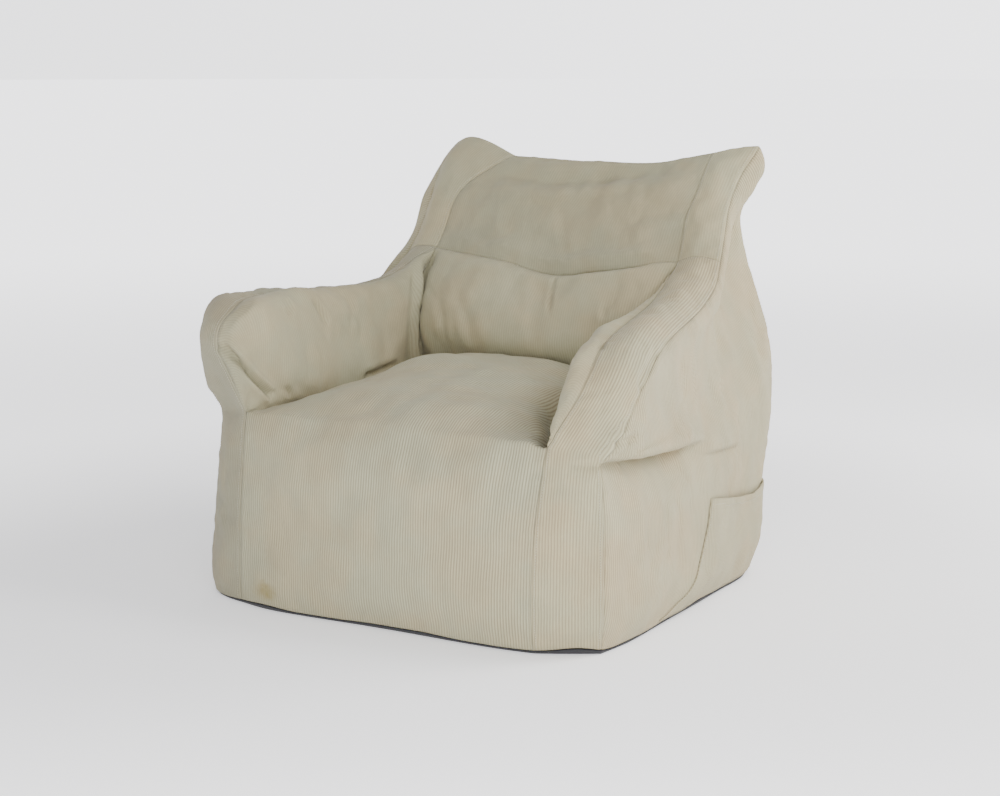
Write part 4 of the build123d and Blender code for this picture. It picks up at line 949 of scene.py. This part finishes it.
for k, name in enumerate(NAMES):
    sel = OWN == k
    if name == "base_panel":
        continue
    verts = V
    if name.startswith("rear"):
        verts = open_slot(V, -1 if name == "rear_lower_panel" else 1)
    ob = shell("cover_" + name.replace("_panel", ""), verts, F[sel], NORM, CLOTH,
               CORD[name], CUT[sel], SEAM[sel])
    chair(ob, "corduroy", name)

# base cloth: a tray with its edge turned up under the hem
sel = OWN == BASE
B = V.copy()
used = np.unique(F[sel])
bd = np.full(len(V), 1.0)
for c in range(4):
    np.minimum.at(bd, F[sel][:, c], SEAM[sel][:, c, 0])
B[used, 2] = 0.0004 + np.maximum(B[used, 2] - 0.0004, 0.0015) * (bd[used] < 0.0015) + 0.0006 * np.exp(-((bd[used] - 0.02) / 0.03) ** 2)
BN = normals_of(B, F[sel])
base = shell("base_cloth", B, F[sel], BN, 0.0012, weave("base_weave", (0.018, 0.018, 0.020), (0.060, 0.060, 0.066), 0.0016), CUT[sel], SEAM[sel], 0.003)
chair(base, "base_cloth", "base_panel")

# patch pocket on the right side
PF = [(-0.140, 0.014), (-0.092, 0.028), (-0.050, 0.057), (-0.002, 0.118), (0.025, 0.198)]
PR = [(0.301, 0.014), (0.315, 0.046), (0.322, 0.090), (0.326, 0.132), (0.328, 0.175)]
pn, pm = 48, 64
pf, pr = spline(PF, pn), spline(PR, pn)
pocket = np.zeros((pn + 1, pm + 1, 3))
for i in range(pn + 1):
    for j in range(pm + 1):
        y, z = pf[i] * (1 - j / pm) + pr[i] * (j / pm)
        hit = TREE.ray_cast(Vector((0.7, y, z)), Vector((-1, 0, 0)))[0]
        s = math.sin(math.pi * j / pm)
        rise = (i / pn) ** 2 * (3 - 2 * i / pn)
        dip = 0.013 * (i / pn) ** 6 * math.sin(math.pi * (j / pm) ** 1.25)
        pocket[i, j] = (hit[0] + 0.0024 + 0.0085 * rise * s**0.8, y, z - dip)
PN = grid_normals(pocket)
PN *= np.sign((PN[..., 0]).mean())
hem_t = np.where(np.arange(pn + 1)[:, None] > pn - 4, 0.0032, 0.0017) + np.zeros((pn + 1, pm + 1))
pocket[pn - 3:, :, 0] += 0.0012 * np.sin(math.pi * np.arange(pm + 1) / pm)[None, :] ** 0.3
ids = np.arange((pn + 1) * (pm + 1)).reshape(pn + 1, pm + 1)
pfaces = np.stack([ids[:-1, :-1], ids[:-1, 1:], ids[1:, 1:], ids[1:, :-1]], -1).reshape(-1, 4)
cu, cv = lengths(pocket, 1), lengths(pocket, 0)
pcut = np.stack([cu + pocket[:, :1, 1], cv], -1).reshape(-1, 2)
pdist = np.minimum(np.minimum(cu, cu[:, -1:] - cu), np.minimum(cv, np.abs(cv[-1:] - cv - 0.012)))
pseam = np.stack([pdist + 0.0006, cv], -1).reshape(-1, 2)
flip = np.cross(pocket[1, 1] - pocket[0, 0], pocket[1, 0] - pocket[0, 1])[0] < 0
if flip:
    pfaces = pfaces[:, ::-1]
pock = shell("cover_side_pocket", pocket.reshape(-1, 3), pfaces, PN.reshape(-1, 3), hem_t.reshape(-1), CORD["side_pocket"], pcut[pfaces], pseam[pfaces], 0)
chair(pock, "corduroy", "side_pocket")


# ----------------------------------------------------------------------------
# Stitches beside the strip seams and round the pocket
# ----------------------------------------------------------------------------
def resample(line, step):
    L = np.r_[0, np.cumsum(np.linalg.norm(np.diff(line, axis=0), axis=1))]
    s = np.arange(step / 2, L[-1], step)
    return np.stack([np.interp(s, L, line[:, k]) for k in range(3)], 1)


def beside(name, edge, off):
    """The line at a distance from one edge of a panel."""
    G = DEFORMED[GRID[name]]
    if edge in ("left", "right"):
        cu = lengths(G, 1)
        if edge == "right":
            G, cu = G[:, ::-1], (cu[:, -1:] - cu)[:, ::-1]
        return np.array([[np.interp(off, cu[i], G[i, :, c]) for c in range(3)] for i in range(len(G))])
    cv = lengths(G, 0)
    if edge == "top":
        G, cv = G[::-1], (cv[-1:] - cv)[::-1]
    return np.array([[np.interp(off, cv[:, j], G[:, j, c]) for c in range(3)] for j in range(G.shape[1])])


def stitches(name, lines, length, pitch, radius, mat, tree=None):
    verts, faces = [], []
    ring = [(math.cos(a), math.sin(a)) for a in np.linspace(0, 2 * math.pi, 7)[:-1]]
    for line in lines:
        pts = resample(np.asarray(line, float), pitch)
        for k in range(1, len(pts) - 1):
            t = pts[k + 1] - pts[k - 1]
            t /= np.linalg.norm(t)
            if tree is None:
                p, n = Vector(pts[k]), Vector((1, 0, 0))
            else:
                p, n, _, _ = tree.find_nearest(Vector(pts[k]))
            n = np.array(n)
            t = t - n * (t @ n)
            t /= np.linalg.norm(t)
            b = np.cross(n, t)
            base = len(verts)
            for s, r, h in ((-0.5, 0.35, -0.0004), (-0.32, 1.0, 0.0001), (0.0, 1.1, 0.00035), (0.32, 1.0, 0.0001), (0.5, 0.35, -0.0004)):
                c = np.array(p) + t * (s * length) + n * (h + 0.00015)
                verts += [c + (b * x + n * y * 0.8) * radius * r for x, y in ring]
            for q in range(4):
                for j in range(6):
                    a0, a1 = base + q * 6 + j, base + q * 6 + (j + 1) % 6
                    faces.append((a0, a1, a1 + 6, a0 + 6))
            faces.append([base + j for j in range(6)][::-1])
            faces.append([base + 24 + j for j in range(6)])
    return piece(name, verts, faces, mat)


OFF = 0.0068
lines = []
for s in ("left", "right"):
    for strip in ("arm_gusset_", "wing_gusset_"):
        lines += [beside(strip + s, "left", OFF), beside(strip + s, "right", OFF)]
lines += [beside("rear_lower_panel", "top", 0.016), beside("rear_upper_panel", "bottom", 0.016)]
sew = thread("sewing_thread", (0.46, 0.43, 0.33))
st = stitches("seam_stitching", lines, 0.0034, 0.0046, 0.00045, sew, TREE)
chair(st, "corduroy")


def pocket_line(kind, off):
    if kind == "hem":
        return [pocket[np.searchsorted(cv[:, j], cv[-1, j] - off), j] for j in range(2, pm - 1)]
    G, c = (pocket, cu) if kind == "front" else (pocket[:, ::-1], (cu[:, -1:] - cu)[:, ::-1])
    return [[np.interp(off, c[i], G[i, :, k]) for k in range(3)] for i in range(1, pn + 1)]


ptree = BVHTree.FromPolygons(pocket.reshape(-1, 3).tolist(), pfaces.tolist())
st2 = stitches("pocket_stitching", [pocket_line("front", 0.005), pocket_line("rear", 0.005), pocket_line("hem", 0.014)],
               0.0034, 0.0046, 0.00045, sew, ptree)
chair(st2, "corduroy")

# ----------------------------------------------------------------------------
# Zip
# ----------------------------------------------------------------------------
tape_mat = weave("zip_tape_weave", (0.34, 0.32, 0.265), (0.50, 0.475, 0.40), 0.0011, coords="object")
coil_mat = nylon("zip_nylon", (0.50, 0.475, 0.41))
metal = painted("zip_paint", (0.30, 0.285, 0.25))
for row, sg in (("upper", 1), ("lower", -1)):
    lo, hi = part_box("zip_tape_" + row)
    nx, nz = 160, 6
    xs, zs = np.linspace(lo[0], hi[0], nx + 1), np.linspace(lo[2], hi[2], nz + 1)
    X, Z = np.meshgrid(xs, zs)
    Y = np.full_like(X, hi[1]) + 0.00012 * np.sin(X * 210) * np.sin((Z - lo[2]) / (hi[2] - lo[2]) * math.pi)
    G = np.stack([X, Y, Z], -1)
    ids = np.arange((nx + 1) * (nz + 1)).reshape(nz + 1, nx + 1)
    f = np.stack([ids[:-1, :-1], ids[1:, :-1], ids[1:, 1:], ids[:-1, 1:]], -1).reshape(-1, 4)
    zero = np.stack([X, Z], -1).reshape(-1, 2)
    tape = shell("tape_" + row, G.reshape(-1, 3), f, np.tile([0.0, 1.0, 0.0], (len(zero), 1)), 0.0007, tape_mat, zero[f], zero[f], 0)
    chair(tape, "zip_tape", "zip_tape_" + row)
    # nylon teeth on a cord
    lo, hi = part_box("zip_coil_" + row)
    yc, near, far_ = (lo[1] + hi[1]) / 2, (lo[2] if sg > 0 else hi[2]), (hi[2] if sg > 0 else lo[2])
    verts, faces = [], []
    ring = [(math.cos(a), math.sin(a)) for a in np.linspace(0, 2 * math.pi, 9)[:-1]]

    def lathe(path, caps=True):
        base = len(verts)
        for (c, ax, r1, r2) in path:
            verts.extend([[c[0] + (x * r1 if ax == "z" else 0), c[1] + y * r2, c[2] + (x * r1 if ax == "x" else 0)] for x, y in ring])
        n = len(path)
        for q in range(n - 1):
            for j in range(8):
                a0, a1 = base + q * 8 + j, base + q * 8 + (j + 1) % 8
                faces.append((a0, a1, a1 + 8, a0 + 8))
        faces.append([base + j for j in range(8)][::-1])
        faces.append([base + (n - 1) * 8 + j for j in range(8)])

    pitch = 0.0024
    x = lo[0] + 0.0012 + (pitch / 2 if sg > 0 else 0)
    while x < hi[0] - 0.0008:
        L = far_ - near
        lathe([((x, yc, near + L * q), "z", 0.00085 * r, 0.00092 * r) for q, r in
               ((0.0, 0.45), (0.06, 0.85), (0.16, 1.0), (0.30, 0.82), (0.6, 0.78), (0.9, 0.72), (1.0, 0.4))])
        x += pitch
    lathe([((lo[0] + (hi[0] - lo[0]) * q, yc, near + (far_ - near) * 0.72), "x", 0.00065, 0.0006) for q in np.linspace(0, 1, 60)])
    teeth = piece("teeth_" + row, verts, faces, coil_mat)
    bm = bmesh.new()
    bm.from_mesh(teeth.data)
    bmesh.ops.recalc_face_normals(bm, faces=bm.faces)
    bm.to_mesh(teeth.data)
    bm.free()
    chair(teeth, "zip_coil", "zip_coil_" + row)
for n in ("zip_stops", "zip_slider", "zip_pull"):
    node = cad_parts[n]
    node.data.materials.clear()
    node.data.materials.append(metal)


# ----------------------------------------------------------------------------
# Inner bags and their beads
# ----------------------------------------------------------------------------
def bag_mesh(node, voxel):
    """The bag's outline, from its filling, remeshed and softened."""
    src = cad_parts[node]
    ob = bpy.data.objects.new("tmp", src.data.copy())
    bpy.context.scene.collection.objects.link(ob)
    r = ob.modifiers.new("r", "REMESH")
    r.mode, r.voxel_size = "VOXEL", voxel
    s = ob.modifiers.new("s", "SMOOTH")
    s.factor, s.iterations = 0.5, 14
    dg = bpy.context.evaluated_depsgraph_get()
    mesh = bpy.data.meshes.new_from_object(ob.evaluated_get(dg), depsgraph=dg)
    bpy.data.objects.remove(ob)
    v = np.empty(len(mesh.vertices) * 3, np.float32)
    mesh.vertices.foreach_get("co", v)
    v = v.reshape(-1, 3).astype(float)
    f = np.array([list(p.vertices) for p in mesh.polygons])
    bpy.data.meshes.remove(mesh)
    return v, f


liner_mat = weave("liner_weave", (0.62, 0.62, 0.60), (0.80, 0.80, 0.78), 0.0009, coords="object")
bead_mat = beads("bead_fill")
IN = V - NORM * CLOTH
APART = {"seat": ("inner_arm", "lumbar"), "back": (), "lumbar": ("inner_arm", "front_seat"), "arm_left": ("front_seat", "lumbar"), "arm_right": ("front_seat", "lumbar")}
for bag, fill in (("seat", 0.7), ("back", 0.6), ("lumbar", 0.6), ("arm_left", 0.75), ("arm_right", 0.75)):
    part = bag.split("_")
    liner_node = part[0] + "_liner" + ("_" + part[1] if len(part) > 1 else "")
    fill_node = part[0] + "_fill" + ("_" + part[1] if len(part) > 1 else "")
    v, f = bag_mesh(fill_node, 0.009)
    n = normals_of(v, f)
    v = v - n * (0.0030 + 0.0014 * wobble(v, 0.07, 21) + 0.0008 * wobble(v, 0.03, 22))[:, None]
    if bag == "seat":
        ids, d, down = hollow(v, HOLLOW["line"], np.ones(len(v), bool), 0.13)
        v[ids, 2] -= 1.1 * down * (1 - smooth01((d - 0.07) / 0.06))
    # stay clear of the cover where it is creased
    near_tree = tree_of(IN, F[[not APART[bag] or not NAMES[k].startswith(APART[bag]) for k in OWN]])
    clear = 0.011 if bag == "seat" else 0.006
    for q in [*range(len(v))] * 2:
        hit, hn, _, dist = near_tree.find_nearest(Vector(v[q]), 0.045)
        if hit is not None:
            depth = (np.array(hit) - v[q]) @ np.array(hn)
            if depth < clear:
                v[q] -= np.array(hn) * (clear - depth)
    v[:, 2] = np.maximum(v[:, 2], 0.0065)
    n = normals_of(v, f)
    m = len(v)
    outer, inner = v + n * 0.0012, v + n * 0.0003
    skin = piece(liner_node + "_bag", np.vstack([outer, inner]), [*f.tolist(), *(f[:, ::-1] + m).tolist()], liner_mat)
    chair(skin, "liner_cloth", liner_node)
    b = v - n * (0.0012 + 0.0006 * np.abs(wobble(v, 0.012, 31)))[:, None]
    core = piece(fill_node + "_beads", b, f.tolist(), bead_mat)
    chair(core, "beads", fill_node)

# ----------------------------------------------------------------------------
# Floor and light
# ----------------------------------------------------------------------------
fwd = np.array([FWD[0], FWD[1], 0]) / math.hypot(FWD[0], FWD[1])
rgt = np.array([RIGHT[0], RIGHT[1], 0])
radii = [0.0, 0.3, 0.6, 1.0, 1.5, 2.2, 3.2, 5.0, 8.0, 14.0, 26.0, 60.0]
turns = 64
fv = [(0.0, 0.0, 0.0)] + [(r * math.cos(2 * math.pi * k / turns), r * math.sin(2 * math.pi * k / turns), 0.0) for r in radii[1:] for k in range(turns)]
ff = [(0, 1 + k, 1 + (k + 1) % turns) for k in range(turns)]
for q in range(len(radii) - 2):
    for k in range(turns):
        a, b = 1 + q * turns + k, 1 + q * turns + (k + 1) % turns
        ff.append((a, a + turns, b + turns, b))
# painted light: the floor glows, more so further out
floor = piece("floor", fv, ff, paper("floor_paint", (0.86, 0.86, 0.875)))

world = bpy.data.worlds.new("studio")
bpy.context.scene.world = world
world.use_nodes = True
wt = world.node_tree
bg = wt.nodes["Background"]
tc = wt.nodes.new("ShaderNodeTexCoord")
sep = wt.nodes.new("ShaderNodeSeparateXYZ")
wt.links.new(tc.outputs["Generated"], sep.inputs[0])


def wmath(op, a, b):
    n = wt.nodes.new("ShaderNodeMath")
    n.operation = op
    for k, v in enumerate((a, b)):
        if isinstance(v, (int, float)):
            n.inputs[k].default_value = v
        else:
            wt.links.new(v, n.inputs[k])
    return n.outputs[0]


def wspan(x, a, b, c, d):
    n = wt.nodes.new("ShaderNodeMapRange")
    n.interpolation_type = "SMOOTHSTEP"
    wt.links.new(x, n.inputs[0])
    for k, v in enumerate((a, b, c, d)):
        n.inputs[1 + k].default_value = v
    return n.outputs[0]


# a bright wall behind, a dim room in front, a soft ceiling
facing = wmath("ADD", wmath("MULTIPLY", sep.outputs[0], float(fwd[0])), wmath("MULTIPLY", sep.outputs[1], float(fwd[1])))
wall = wspan(facing, -0.2, 0.8, 0.5, 2.65)
level = wspan(sep.outputs[2], 0.05, 0.75, 1.0, 0.0)
glow = wmath("ADD", wmath("MULTIPLY", wall, level), wmath("MULTIPLY", wmath("SUBTRACT", 1.0, level), 0.74))
toward = wmath("ADD", wmath("MULTIPLY", sep.outputs[0], float(rgt[0])), wmath("MULTIPLY", sep.outputs[1], float(rgt[1])))
glow = wmath("MULTIPLY", glow, wspan(toward, -0.30, 0.30, 0.93, 1.17))
wt.links.new(glow, bg.inputs[1])
bg.inputs[0].default_value = (0.995, 0.995, 1.02, 1)


def lamp(name, at, target, size, power, color=(1, 1, 1)):
    light = bpy.data.lights.new(name, "AREA")
    light.shape, light.size, light.energy, light.color = "DISK", size, power, color
    ob = bpy.data.objects.new(name, light)
    bpy.context.scene.collection.objects.link(ob)
    ob.location = at
    ob.visible_camera = False
    ob.rotation_euler = (Vector(target) - Vector(at)).to_track_quat("-Z", "Y").to_euler()
    return ob


mid = np.array([0.0, 0.0, 0.35])
up = np.array([0, 0, 1.0])
lamp("right", mid + rgt * 2.7 + fwd * 0.4 + up * 1.0, mid, 1.3, 43, (1.0, 0.985, 0.955))
lamp("right_high", mid + rgt * 2.0 - fwd * 0.4 + up * 2.0, mid, 1.2, 44, (1.0, 0.985, 0.955))
lamp("front", mid - fwd * 3.4 + rgt * 0.40 + up * 0.9, mid, 2.0, 27, (1.0, 0.99, 0.98))
lamp("front_low", mid - fwd * 2.2 + rgt * 0.0 + up * 0.25, mid, 1.2, 31, (1.0, 0.99, 0.98))
